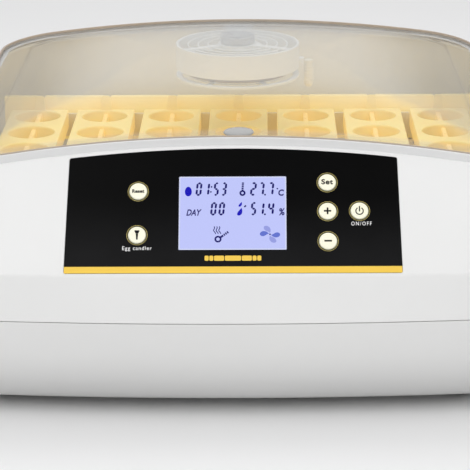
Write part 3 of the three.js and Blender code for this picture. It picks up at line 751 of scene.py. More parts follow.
def stroke(points, w, closed=False):
    """A flat stroke of width w along points, as quads."""
    P = [np.array(p, float) for p in points]
    k = len(P)
    L, R = [], []
    for i in range(k):
        a = P[i - 1] if (i > 0 or closed) else P[i]
        b = P[(i + 1) % k] if (i < k - 1 or closed) else P[i]
        d = b - a
        d = d / (np.linalg.norm(d) + 1e-12)
        n = np.array([-d[1], d[0]]) * w / 2
        L.append(P[i] + n)
        R.append(P[i] - n)
    v = [(p[0], p[1], 0) for p in L] + [(p[0], p[1], 0) for p in R]
    f = [(i, k + i, k + (i + 1) % k, (i + 1) % k) for i in range(k if closed else k - 1)]
    return v, f


def cad(name, mat, bevel=0.35, seg=2, slot=None):
    """A CAD node that stays: welded and edge-rounded by modifiers, with its own material."""
    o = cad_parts[name]
    o.data.materials.clear()
    o.data.materials.append(MAT[mat])
    w = o.modifiers.new("weld", "WELD")
    w.merge_threshold = 1e-5
    if bevel:
        b = o.modifiers.new("edge", "BEVEL")
        b.width = bevel * MM
        b.segments = seg
        b.limit_method = "ANGLE"
        b.angle_limit = math.radians(34)
        b.harden_normals = False
        b.use_clamp_overlap = True
        for p in o.data.polygons:
            p.use_smooth = True
        n = o.modifiers.new("weighted", "WEIGHTED_NORMAL")
        n.weight = 50
        n.keep_sharp = False
    return o


# ---------------------------------------------------------------------- stage
def stage():
    w = bpy.data.worlds.new("studio")
    bpy.context.scene.world = w
    w.use_nodes = True
    t = w.node_tree
    t.nodes.clear()
    out = _n(t, "ShaderNodeOutputWorld")
    bg = _n(t, "ShaderNodeBackground")
    co = _n(t, "ShaderNodeTexCoord")
    sep = _n(t, "ShaderNodeSeparateXYZ")
    t.links.new(co.outputs["Generated"], sep.inputs[0])
    ramp = _n(t, "ShaderNodeValToRGB")
    el = ramp.color_ramp.elements
    el[0].position, el[0].color = 0.0, (0.8, 0.8, 0.8, 1)
    el[1].position, el[1].color = 1.0, (0.16, 0.16, 0.17, 1)
    e = el.new(0.5)
    e.color = (0.95, 0.95, 0.95, 1)
    e = el.new(0.84)
    e.color = (0.55, 0.55, 0.56, 1)
    t.links.new(sep.outputs["Z"], ramp.inputs[0])
    t.links.new(ramp.outputs["Color"], bg.inputs["Color"])
    bg.inputs["Strength"].default_value = 0.75
    t.links.new(bg.outputs[0], out.inputs[0])

    def area(name, loc, aim, size, power, size_y=None, color=(1, 1, 1), glossy=True):
        d = bpy.data.lights.new(name, "AREA")
        d.energy, d.size, d.color = power, size, color
        if size_y:
            d.shape, d.size_y = "RECTANGLE", size_y
        o = bpy.data.objects.new(name, d)
        bpy.context.scene.collection.objects.link(o)
        o.location = loc
        o.rotation_euler = (Vector(aim) - Vector(loc)).to_track_quat("-Z", "Y").to_euler()
        o.visible_glossy = glossy
        return o

    area("key", (-1.2, -1.5, 2.0), (0, -0.1, 0.1), 1.4, 9)
    area("fill", (1.4, -1.4, 1.8), (0, -0.1, 0.1), 1.4, 7)
    area("top", (0, 0.95, 2.3), (0, 0.1, 0.15), 2.4, 17, 1.3, glossy=False)
    area("over", (0, -0.55, 2.3), (0, -0.05, 0.1), 1.7, 10.5, glossy=False)

    bm = bmesh.new()
    bmesh.ops.create_grid(bm, x_segments=24, y_segments=24, size=7)
    me = bpy.data.meshes.new("floor")
    for v in bm.verts:
        v.co.z = -0.0002
    bm.to_mesh(me)
    bm.free()
    o = bpy.data.objects.new("floor", me)
    bpy.context.scene.collection.objects.link(o)
    me.materials.append(plastic("floor_paper", (0.9, 0.9, 0.9), 0.8, 0.006, 1.5, 300, 0.02, spec=0.15))

    cam = bpy.data.cameras.new("camera")
    cam.lens = 2020.15 / 470 * 36
    cam.sensor_width = 36
    cam.clip_start, cam.clip_end = 0.05, 60
    co = bpy.data.objects.new("camera", cam)
    bpy.context.scene.collection.objects.link(co)
    co.location = (0.02152, -1.66247, 0.609995)
    turn = Matrix.Rotation(math.radians(0.804), 4, "Z") @ Matrix.Rotation(math.radians(90 - 18.11), 4, "X") @ Matrix.Rotation(math.radians(-0.436), 4, "Z")
    co.rotation_euler = turn.to_euler()
    bpy.context.scene.camera = co
    bpy.context.scene.view_settings.view_transform = "Standard"
    bpy.context.scene.view_settings.look = "None"


stage()


# ------------------------------------------------------------------ the tub
def tub():
    ctrl = [
        (44, 5), (28, 11), (17, 20), (8, 33), (3, 48), (0.5, 64), (0, 80.9), (4.3, 80.9), (4.3, 87), (6.3, 87),
        (6.3, 62), (9, 46), (16, 30), (27, 18), (42, 10),
    ]
    # The outer curve is drawn as a smooth spline through its control rings.
    def spline(pts, m):
        P = [np.array(p, float) for p in pts]
        P = [2 * P[0] - P[1]] + P + [2 * P[-1] - P[-2]]
        out = []
        for i in range(1, len(P) - 2):
            for j in range(m):
                t = j / m
                out.append(
                    0.5 * ((2 * P[i]) + (P[i + 1] - P[i - 1]) * t + (2 * P[i - 1] - 5 * P[i] + 4 * P[i + 1] - P[i + 2]) * t * t
                           + (3 * P[i] - P[i - 1] - 3 * P[i + 1] + P[i + 2]) * t ** 3)
                )
        out.append(P[-2])
        return [(max(0.0, float(p[0])), float(p[1])) for p in out]

    outer = spline(ctrl[:6] + [(0, 79.4)], 4)
    lip = [(0.2, 80.85), (0.55, 81.2), (4.3, 81.2), (4.3, 86.6), (4.7, 87), (5.9, 87), (6.3, 86.6)]
    inner = spline([(6.3, 62), (9, 46), (16, 30), (27, 18), (42, 10)], 3)
    rings = [tub_ring(o, z) for o, z in outer + lip + inner]
    v = [tuple(p) for r in rings for p in r]
    n = len(rings[0])
    f = []
    for k in range(len(rings) - 1):
        for i in range(n):
            j = (i + 1) % n
            f.append((k * n + i, k * n + j, (k + 1) * n + j, (k + 1) * n + i))
    f.append(tuple(range(n))[::-1])  # the underside
    f.append(tuple((len(rings) - 1) * n + i for i in range(n)))  # the inside floor
    o = make("tub_shell", v, f, ["base"], "base", slot="base_grey", replaces="base_shell", sharp=40)
    cut = [
        tool(*lathe([(0, -252), (10.9, -252), (10.9, -240), (8.4, -240), (8.4, -200), (0, -200)], 48, "x", (0, -120, 42))),
    ]
    booled(o, cut, sharp=40)
    bosses = []
    for sx in (-1, 1):
        for y0, y1 in ((-219.5, -203), (203, 219.5)):
            x0, x1 = (126, 152) if sx > 0 else (-152, -126)
            bosses.append(tool(*box_r(x0, x1, y0, y1, 8.6, 15.7, 0.9, 2)))
    booled(o, bosses, "UNION", sharp=40)
    return o


tub()


# ------------------------------------------------------------- upper housing
def overlay_outline(grow=0.0, r=1.6):
    pts = [(-125.2 - grow, 2.9 - grow), (125.2 + grow, 2.9 - grow)]
    top = []
    for i in range(41):
        u = 123.2 + grow - (246.4 + 2 * grow) * i / 40
        top.append((u, 102 + grow - u * u / 2000))
    P = pts + top
    out = []
    corners = {0, 1, 2, len(P) - 1}
    n = len(P)
    for i, p in enumerate(P):
        if i not in corners:
            if (i == 3 or i == n - 2) and r > 5:
                continue
            out.append(p)
            continue
        p = np.array(p)
        a, b = np.array(P[i - 1]) - p, np.array(P[(i + 1) % n]) - p
        la, lb = np.linalg.norm(a), np.linalg.norm(b)
        pa, pb = p + a / la * min(r, la * 0.8), p + b / lb * min(r, lb * 0.8)
        for k in range(6):
            t = k / 5
            out.append(tuple(pa * (1 - t) ** 2 + 2 * p * t * (1 - t) + pb * t * t))
    return out


def housing():
    band = lambda x: BAND_Z + 1.02 * (x / 172) ** 2
    rings = [
        ring(245, -260, 260, 40, 40, 7.2, 81.8),
        ring(243.5, PANEL_Y, 258, 40, 40, 0.8, band),
        rim_ring(0, 0),
        rim_ring(7, 0),
        rim_ring(7, -3),
        ring(223.4, RIM_Y + 1.3, 235.4, 44, 44, RIM_BULGE, lambda x: rim_z(x) - 3),
        ring(240.5, PANEL_Y + 3, 255, 37, 37, 0.8, lambda x: band(x) - 1),
        ring(242, -257, 257, 37, 37, 7.2, 81.8),
    ]
    soft = [0.5, 2.0, 1.15, 0.5, 0.5, 0.8, 1.5, 0.5]
    sk = skin(rings, soft, 4, True, extra={0: 3, 1: 8, 5: 4, 6: 2})
    o = loft_piece("upper_shell", sk, ["white"], "lid", slot="housing_white", replaces="top_housing", sharp=32)
    cut = [
        tool(*prism(overlay_outline(0.3, 1.8), -1.1, 8), PANEL),
        tool(*prism(rrect(-37.6, 36.9, 24.2, 76.9, 1.0, 3), -9, 2), PANEL),
    ]
    b = Build()
    for u, s in BUTTONS.values():
        b.add(prism(circ(u, s, 6.9, 48), -9, 2))
    cut.append(tool(b.v, b.f, PANEL))
    v, f = prism([(x, z) for x, z in rrect(-165, -135, 89.5, 110.5, 1.4, 4)], 245, 270)
    cut.append(tool([(x, y, z) for x, z, y in v], f))
    booled(o, cut, sharp=32)
    return o


housing()


def window_parts():
    rings = [rim_ring(a, b) for a, b in ((1.2, -0.08), (1.2, 6), (3.6, 6), (3.6, 2.5), (10, 2.5), (10, 1.6), (2.4, 1.6), (2.4, -0.08))]
    soft = [0.04, 0.9, 0.5, 0.3, 0.3, 0.2, 0.2, 0.04]
    loft_piece("rim_frame", skin(rings, soft, 3), ["rim"], "lid", slot="rim_grey", replaces="window_frame", sharp=30)
    rings = [rim_ring(a, b) for a, b in ((2.8, 0.3), (2.8, 1.3), (6.6, 1.3), (6.6, 0.3))]
    loft_piece("rim_seal", skin(rings, [0.3] * 4, 3), ["rubber"], "lid", slot="gasket_grey", replaces="window_gasket", sharp=40)

    # The seal's visible lip, standing a little over the frame all round the sheet.
    rings = [rim_ring(a, b) for a, b in ((3.7, 4.7), (3.7, 6.75), (5.5, 6.75), (5.5, 4.7))]
    loft_piece("window_bead", skin(rings, [0.05, 0.55, 0.55, 0.05], 3), ["border"], "lid", slot="gasket_grey", sharp=30)

    # The clear window: a flat flange, then a low crown that closes on a short ridge.
    mid = (RIM_Y + 238) / 2
    ctrl = [(3.9, 4.6), (14, 4.6), (24, 4.6), (31, 4.62), (34.5, 5.7), (46, 10), (58, 13.4), (75, 17), (95, 20.3), (115, 23)]

    def layer(dh, first):
        out = []
        for a, b in zip(ctrl, ctrl[1:]):
            for j in range(2):
                t = j / 2
                out.append(rim_ring(a[0] + (b[0] - a[0]) * t, a[1] + (b[1] - a[1]) * t - dh))
        last = rim_ring(115, 23 - dh)
        out.append(last)
        for j in range(1, 11):
            t = j / 10
            g = last.copy()
            for k in range(len(g)):
                x = g[k][0]
                xr = max(-66.0, min(66.0, x))
                g[k][0] = x + (xr - x) * t
                g[k][1] = g[k][1] + (mid - g[k][1]) * t
                h = 23 + 5 * (1 - (1 - t) ** 2)
                g[k][2] = rim_z(g[k][0]) + h - dh
            out.append(g)
        return out

    up, down = layer(0, True), layer(1.8, True)
    # smooth the profile a little
    def relax(rs, n):
        z = np.array([r[:, 2] for r in rs])
        for _ in range(n):
            z[1:-1] = (z[:-2] + 2 * z[1:-1] + z[2:]) / 4
        for r, zz in zip(rs, z):
            r[:, 2] = zz
        return rs
    up, down = relax(up, 3), relax(down, 3)
    rings = down[::-1] + up
    n = len(rings[0])
    v = [tuple(p) for r in rings for p in r]
    f = loft_faces(len(rings), n, False)
    o = make("window_sheet", v, f, ["window"], "lid", slot="window_clear", replaces="clear_window", sharp=50, doubles=0.02)
    booled(o, [tool(*lathe([(0, 190), (3.8, 190), (3.8, 220), (0, 220)], 40, "z", (4, -173.5, 0)))], sharp=50)


window_parts()


def vent_knob():
    z = rim_z(0) + 5
    prof = [(0, -6.5), (2.9, -6.5), (3.2, -6.1), (3.2, 0.0), (11.2, 0.0), (11.6, 0.2), (11.75, 0.6), (11.65, 1.0)]
    for k in range(1, 9):
        t = math.pi / 2 * k / 8
        prof.append((11.6 * math.cos(t) ** 0.95 if k < 8 else 0, 1.0 + 2.15 * math.sin(t)))
    v, f = lathe(prof, 96)
    out = []
    for x, y, h in v:
        r = math.hypot(x, y)
        if r > 4 and h > 0.2:
            a = math.atan2(y, x)
            g = 0.22 * (0.5 + 0.5 * math.cos(24 * a)) * min(1, (r - 4) / 5)
            x, y = x * (1 - g / r), y * (1 - g / r)
        out.append((x + 4, y - 173.5, h + z))
    make("vent_cap", out, f, ["knob"], "vent_knob", slot="knob_smoke", replaces="vent_knob", sharp=50)


vent_knob()


# -------------------------------------------------------------- control panel
def quad_film():
    """The film: black field and orange foot stripe, with the display and button openings."""
    b = tool(*prism(overlay_outline(0, 1.6), -0.8, 0.0), PANEL)
    o = b
    o.name = "film_field"
    o.data.materials.append(MAT["film"])
    c = [tool(*prism(rrect(LCD[0], LCD[1], LCD[2], LCD[3], 0.5, 3), -2, 1), PANEL)]
    k = Build()
    for u, s in BUTTONS.values():
        k.add(prism(circ(u, s, 6.9, 64), -2, 1))
    c.append(tool(k.v, k.f, PANEL))
    booled(o, c, sharp=30)
    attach(o, "lid")
    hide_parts("panel_overlay")
    w = o.modifiers.new("weighted", "WEIGHTED_NORMAL")
    w.keep_sharp = True
    # printed stripe
    out = [(-125.15, 3.3), (-124.6, 2.95), (124.6, 2.95), (125.15, 3.3), (125.08, 8.1), (-125.08, 8.1)]
    make("film_stripe", *solid_print(poly(out), -0.02, 0.04), ["stripe"], "lid", slot="film_black", matrix=PANEL, sharp=30)


quad_film()


def prints():
    g = Build()
    for u, s in BUTTONS.values():
        g.add(solid_print(annulus(u, s, 7.56, 7.8, 80), -0.02, 0.07), mat=0)
        g.add(solid_print(annulus(u, s, 6.95, 7.14, 80), -0.02, 0.05), mat=1)
    g.piece("film_rings", ["gold", "olive"], "lid", matrix=PANEL, slot="film_black", sharp=30)
    w = Build()
    w.add(solid_print(moved(text_mesh("Egg candler", 3.9, 0.0, width=21.9, space=1.16), -71.2, 22.2), -0.02, 0.04))
    w.add(solid_print(moved(text_mesh("ON/OFF", 3.0, 0.0, width=15.2, space=1.34), 95.6, 41.6), -0.02, 0.04))
    w.piece("film_labels", ["label"], "lid", matrix=PANEL, slot="film_black", sharp=30)
    # A plain row of dashes under the display.
    d = Build()
    x = -21.0
    for k, wd in enumerate((3.0, 3.0, 7.5, 12.0, 7.5, 3.0, 3.0)):
        d.add(solid_print(poly(rrect(x, x + wd, 12.6, 16.6, 0.9, 4)), -0.02, 0.04))
        x += wd + 0.5
    d.piece("film_dashes", ["stripe"], "lid", matrix=PANEL, slot="film_black", sharp=30)


prints()


def lcd():
    U = lambda x: -40.6 + (x - 179.0) / 1.345
    S = lambda y: 79.9 - (y - 176.0) / 1.2555
    u0, u1, s0, s1 = LCD
    N0 = -0.62
    b = Build()
    b.add(plate_r(rrect(u0 + 0.3, u1 - 0.3, s0 + 0.3, s1 - 0.3, 0.6, 3), -0.8, N0, 0.05, 1))
    b.piece("lcd_backlight", ["lcd"], "lid", matrix=PANEL, slot="lcd_backlight", replaces="lcd_lens", sharp=30)
    g = Build()
    n0, n1 = N0 - 0.01, N0 + 0.05
    NAVY, BLUE, MID, PALE, GREY, GLOW = 0, 1, 2, 3, 4, 5

    def put(vf, mat=NAVY):
        g.add(solid_print(vf, n0, n1), mat=mat)

    SEG = {
        "0": "abcdef", "1": "bc", "2": "abged", "3": "abgcd", "4": "fgbc", "5": "afgcd", "7": "abc",
    }

    def digit(ch, x0, x1, y0, y1, w=1.56):
        """A slanted seven-segment digit in a box of panel coordinates."""
        ua, ub = x0, x1
        sl = (y0 - y1) * 0.10
        H = y0 - y1
        mid = (y0 + y1) / 2
        def sh(u, s):
            return (u + (s - y1) / H * sl, s)
        ub2 = ub - sl
        g_ = 0.16
        h = w / 2
        def hseg(s):
            return [(ua + h + g_, s), (ua + w + g_, s + h), (ub2 - w - g_, s + h), (ub2 - h - g_, s), (ub2 - w - g_, s - h), (ua + w + g_, s - h)]
        def vseg(u, sa, sb):
            return [(u, sa + g_), (u + h, sa + h + g_), (u + h, sb - h - g_), (u, sb - g_), (u - h, sb - h - g_), (u - h, sa + h + g_)]
        parts = {
            "a": hseg(y0 - h), "g": hseg(mid), "d": hseg(y1 + h),
            "f": vseg(ua + h, mid, y0 - h), "b": vseg(ub2 - h, mid, y0 - h),
            "e": vseg(ua + h, y1 + h, mid), "c": vseg(ub2 - h, y1 + h, mid),
        }
        for c in SEG[ch]:
            put(poly([sh(*p) for p in parts[c]]))

    top, bot = S(182.0), S(195.6)
    for ch, a, c in (("0", 195.5, 202.9), ("1", 204.0, 210.7), ("5", 213.3, 220.1), ("3", 220.9, 227.9)):
        digit(ch, U(a), U(c), top, bot)
    for ch, a, c in (("2", 250.4, 257.9), ("7", 258.6, 265.8), ("7", 268.0, 275.4)):
        digit(ch, U(a), U(c), top, bot)
    top2, bot2 = S(202.0), S(215.3)
    for ch, a, c in (("0", 210.4, 217.8), ("0", 218.6, 226.0), ("5", 250.7, 257.8), ("1", 258.4, 265.6), ("4", 267.9, 275.5)):
        digit(ch, U(a), U(c), top2, bot2)
    dot = lambda x, y, r=0.55: put(poly(circ(U(x), S(y), r, 14)))
    dot(211.9, 186.6, 0.66)
    dot(211.2, 191.6, 0.66)
    dot(265.8, 194.6, 0.72)
    dot(265.6, 214.3, 0.72)
    dot(278.2, 188.6, 0.6)
    # egg mark
    put(poly([(U(188.5) + 2.6 * math.cos(t) * (1 - 0.06 * math.sin(t)), S(191.2) + 3.85 * math.sin(t)) for t in np.linspace(0, 2 * math.pi, 36, endpoint=False)]), BLUE)
    # thermometer
    put(annulus(U(243.1), S(192.9), 0.95, 2.3, 36))
    put(poly([(U(243.1) - 0.75, S(190.4)), (U(243.1) + 0.75, S(190.4)), (U(243.1) + 0.8, S(189.3)), (U(243.1) - 0.7, S(189.3))]))
    for k in range(4):
        s = S(188.9) + k * 1.42
        put(poly([(U(243.1) - 0.75 + 0.1 * k, s), (U(243.1) + 0.85 + 0.1 * k, s), (U(243.1) + 0.85 + 0.1 * k, s + 1.1), (U(243.1) - 0.75 + 0.1 * k, s + 1.1)]), GREY)
    # degrees sign letter
    put(moved(text_mesh("C", 5.2, 0.04, shear=0.1, width=4.3), U(282.0), S(192.6)), GREY)
    put(moved(text_mesh("DAY", 5.1, 0.03, shear=0.3, width=11.6), U(194.4), S(212.3)), GREY)
    put(moved(text_mesh("%", 5.8, 0.03, shear=0.1, width=4.3), U(282.6), S(211.8)), GREY)
    # drops
    def drop(x, y, w, h, lean=0.35, mat=BLUE):
        pts = []
        for k in range(28):
            t = 2 * math.pi * k / 28
            px = math.sin(t) * w / 2 * (0.5 - 0.5 * math.cos(t)) ** 0.6
            py = math.cos(t) * h / 2
            pts.append((U(x) + px + py * lean, S(y) + py))
        put(poly(pts[::-1]), mat)
    drop(241.2, 204.2, 3.0, 3.8, 0.45)
    drop(240.8, 211.6, 4.8, 6.2, 0.35)
    put(stroke([(U(244.9), S(206.9)), (U(246.7), S(205.4))], 1.15))
    # heater mark: three waves over a probe
    for k in range(3):
        x = 214.3 + 2.6 * k
        pts = []
        for j in range(15):
            t = j / 14
            pts.append((U(x + 1.15 * t) + 0.55 * math.sin(t * 2 * math.pi * 1.25 + 0.5), S(226.3 + 7.4 * t)))
        put(stroke(pts, 0.66))
    put(annulus(U(218.6), S(238.9), 1.35, 2.65, 36))
    for k in range(5):
        t0, t1 = k / 5, k / 5 + (0.24 if k == 0 else 0.135)
        a, c = np.array([U(221.0), S(237.2)]), np.array([U(229.4), S(231.4)])
        put(stroke([tuple(a + (c - a) * t0), tuple(a + (c - a) * t1)], 1.5 + 0.1 * k))
    # fan mark: four petals, two of them pale
    cx, cs = U(270.6), S(234.2)

    def petal(inner, middle, outer, mat):
        a, m, c = (np.array(q, float) for q in (inner, middle, outer))
        h = 2 * m - (a + c) / 2
        left, right = [], []
        for k in range(25):
            t = k / 24
            q = a * (1 - t) ** 2 + 2 * h * t * (1 - t) + c * t * t
            d = 2 * (h - a) * (1 - t) + 2 * (c - h) * t
            d = d / np.linalg.norm(d)
            w = 1.95 * (math.sin(math.pi / 2 * t / 0.66) ** 1.15 if t < 0.66 else math.sqrt(max(0.0, 1 - ((t - 0.66) / 0.34) ** 2)))
            w = max(w, 0.12)
            n = np.array([-d[1], d[0]]) * w
            left.append(tuple(q + n + (cx, cs)))
            right.append(tuple(q - n + (cx, cs)))
        put(poly(right + left[::-1]), mat)

    for sg in (1, -1):
        petal((0.7 * sg, -0.5 * sg), (4.0 * sg, -0.75 * sg), (7.35 * sg, 0.55 * sg), MID)
        petal((-0.1 * sg, 1.0 * sg), (-1.3 * sg, 3.7 * sg), (-4.6 * sg, 5.9 * sg), PALE)
    put(poly(circ(cx, cs, 0.62, 16)))
    # the lit edge of the display
    rim_o, rim_i = rrect(u0 + 0.34, u1 - 0.34, s0 + 0.34, s1 - 0.34, 0.5, 3), rrect(u0 + 1.0, u1 - 1.0, s0 + 1.0, s1 - 1.0, 0.5, 3)
    kk = len(rim_o)
    put(([(x, y, 0) for x, y in rim_i + rim_o], [(i, kk + i, kk + (i + 1) % kk, (i + 1) % kk) for i in range(kk)]), GLOW)
    g.piece("lcd_marks", ["glyph", "glyph_blue", "glyph_mid", "glyph_pale", "glyph_grey", "glow"], "lid", matrix=PANEL, slot="lcd_backlight", sharp=30, weighted=False)
    c = Build()
    c.add(plate_r(rrect(u0 + 0.3, u1 - 0.3, s0 + 0.3, s1 - 0.3, 0.8, 4), -0.4, -0.1, 0.1, 2))
    c.piece("lcd_glass", ["glass"], "lid", matrix=PANEL, slot="lcd_glass", sharp=30)


lcd()


def buttons():
    for name, (u, s) in BUTTONS.items():
        body = "button_" + name
        prof = [(0, -6.7), (2.1, -6.7), (2.4, -6.4), (2.4, -4.5), (7.4, -4.5), (7.6, -4.3), (7.6, -3.7), (7.4, -3.5), (6.5, -3.5)]
        prof += [(6.5, 0.4), (6.42, 0.7), (6.2, 0.93), (5.85, 1.05), (5.4, 1.09), (4.6, 1.05), (3.2, 0.98), (1.6, 0.94), (0, 0.93)]
        v, f = lathe(prof, 72)
        b = Build()
        b.add((v, f))
        tr = PANEL @ Matrix.Translation((u, s, 0))
        b.piece("cap_" + name, ["cream"], body, matrix=tr, slot="button_cream", replaces=body, sharp=40)
        p = Build()
        n0, n1 = 0.93, 1.06
        add = lambda vf: p.add(solid_print(vf, n0, n1))
        if name == "reset":
            add(text_mesh("Reset", 2.9, 0.04, width=9.1, space=1.1))
        elif name == "set":
            add(moved(text_mesh("Set", 4.3, 0.029, width=8.8, space=1.1), 0, 0.3))
        elif name == "plus":
            a, h = 2.7, 0.6
            add(poly([(-a, -h), (-h, -h), (-h, -a), (h, -a), (h, -h), (a, -h), (a, h), (h, h), (h, a), (-h, a), (-h, h), (-a, h)]))
        elif name == "minus":
            add(poly(rrect(-2.8, 2.8, -0.6, 0.6, 0.15, 2)))
        elif name == "candler":
            add(poly([(-0.5, -3.8), (0.55, -3.8), (0.85, 1.0), (-0.85, 1.0)]))
            add(poly([(-0.95, 1.15), (0.95, 1.15), (1.8, 2.6), (1.8, 3.5), (-1.8, 3.5), (-1.8, 2.6)]))
        else:
            pts = [(2.75 * math.sin(t), -0.35 + 2.75 * math.cos(t)) for t in np.linspace(math.radians(32), math.radians(328), 48)]
            add(stroke(pts, 0.8))
            add(stroke([(0, -0.7), (0, 3.6)], 0.85))
        p.piece("cap_" + name + "_mark", ["print"], body, matrix=tr, slot="button_cream", sharp=30)


buttons()


# --------------------------------------------------------------------- trays
def trays():
    """One egg tray: a plate with seven collared cups, skirts, a middle rib and end tabs with pins."""
    w, y0, y1 = 27.0, -208.0, 200.0
    top, t = -7.0, 3.0  # tray frame: pivot axis at z = 0
    foot = top - 17
    centres = [y1 - 24 - 57 * i for i in range(7)]
    outline = [(x, y) for x, y in rrect(-w, w, y0, y1, 3.0, 5)]
    # plate with holes, made with cutters
    v, f = plate_r(outline, top - t, top, 0.7, 3)
    o = tool(v, f)
    o.name = "tray_plate"
    holes = Build()
    for yc in centres:
        # rounded mouth and tapering cup
        prof = [(0, top + 1), (22.4, top + 1), (22.4, top + 0.02), (21.9, top - 0.1), (21.4, top - 0.45), (21.05, top - 1.1), (21.0, top - 1.8), (21.0, top - t - 1), (0, top - t - 1)]
        holes.add(lathe(prof, 64, "z", (0, yc, 0)))
    booled(o, [tool(holes.v, holes.f)], sharp=36)
    bm = bmesh.new()
    bm.from_mesh(o.data)
    bmesh.ops.recalc_face_normals(bm, faces=bm.faces)
    plate_v = [tuple(p.co / MM) for p in bm.verts]
    bm.verts.index_update()
    plate_f = [tuple(p.index for p in face.verts) for face in bm.faces]
    bm.free()
    bpy.data.objects.remove(o)

    b = Build()
    b.add((plate_v, plate_f))
    # collars under the holes
    for yc in centres:
        prof = [(21.0, top - 2.95), (22.6, top - 2.95), (22.2, top - 12.6), (21.8, top - 13.0), (21.0, top - 13.0), (20.6, top - 12.6)]
        vv, ff = lathe(prof, 64, "z", (0, yc, 0), closed=True)
        b.add((vv, ff))
    # skirts: one rounded rectangular tube
    rings = []
    for ins, z in ((0, top - 2.6), (0, foot + 0.5), (0.5, foot), (1.5, foot), (2.0, foot + 0.5), (2.0, top - 2.6)):
        rings.append([(x, y, z) for x, y in rrect(-w + ins, w - ins, y0 + ins, y1 - ins, max(1.0, 3.0 - ins), 5)])
    vv = [p for r in rings for p in r]
    b.add((vv, loft_faces(len(rings), len(rings[0]), True)))
    # middle rib that carries the light strip
    b.add(box_r(-2.2, 2.2, y0 + 2.05, y1 - 2.05, foot + 7, top - 4.3, 0.35, 2))
    # cross webs between cups
    for i in range(6):
        yc = centres[i] - 28.5
        b.add(box_r(-24.9, 24.9, yc - 0.9, yc + 0.9, foot + 4, top - 2.9, 0.3, 1))
    # end tabs, pivot pins and the drive pin
    tab = rounded([(-5.6, top - 1), (5.6, top - 1), (3.8, 6.7), (-3.8, 6.7)], 1.6, 5, closed=True)
    for ya, yb in ((y0, y0 + 2), (y1 - 2, y1)):
        vv, ff = plate_r(tab, ya, yb, 0.45, 2)
        b.add(([(x, y, z) for x, z, y in vv], ff))
    def pin(ya, yb, z):
        L = yb - ya
        prof = [(0, 0), (1.6, 0), (2.0, 0.4), (2.0, L - 0.5), (1.5, L), (0, L)]
        vv, ff = lathe(prof, 28, "y", (0, ya, z))
        b.add((vv, ff))
    pin(y0 - 12.5, y0 + 1, 0)
    pin(y1 - 1, y1 + 17.5, 0)
    pin(y1 - 1, y1 + 8.5, -22)
    base_mesh = None
    for i in range(7):
        x = (i - 3) * 63
        tr = Matrix.Translation((x * MM, 0, 134 * MM)) @ Matrix.Scale(MM, 4)
        if base_mesh is None:
            o = b.piece(f"tray_piece_{i + 1}", ["tray"], None, matrix=Matrix.Scale(MM, 4), sharp=34)
            base_mesh = o.data
        else:
            o = bpy.data.objects.new(f"tray_piece_{i + 1}", base_mesh)
            bpy.context.scene.collection.objects.link(o)
            m = o.modifiers.new("weighted", "WEIGHTED_NORMAL")
            m.keep_sharp = True
        o.location = (x * MM, 0, 134 * MM)
        bpy.context.view_layer.update()
        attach(o, f"tray_{i + 1}")
        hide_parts(f"egg_tray_{i + 1}")
        # the light strip: a diffuser bar with a small dome over each cup
        s = Build()
        s.add(box_r(-1.8, 1.8, y0 + 3, y1 - 3, -11, -10.3, 0.2, 2))
        for yc in centres:
            s.add(lathe([(1.5, -10.35), (1.45, -10.1), (1.1, -9.8), (0.6, -9.62), (0, -9.56)], 20, "z", (0, yc, 0)))
        st = s.piece(f"light_strip_{i + 1}", ["strip"], None, matrix=Matrix.Translation((x * MM, 0, 134 * MM)) @ Matrix.Scale(MM, 4), sharp=40)
        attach(st, f"tray_{i + 1}")
        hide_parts(f"candler_strip_{i + 1}")


trays()


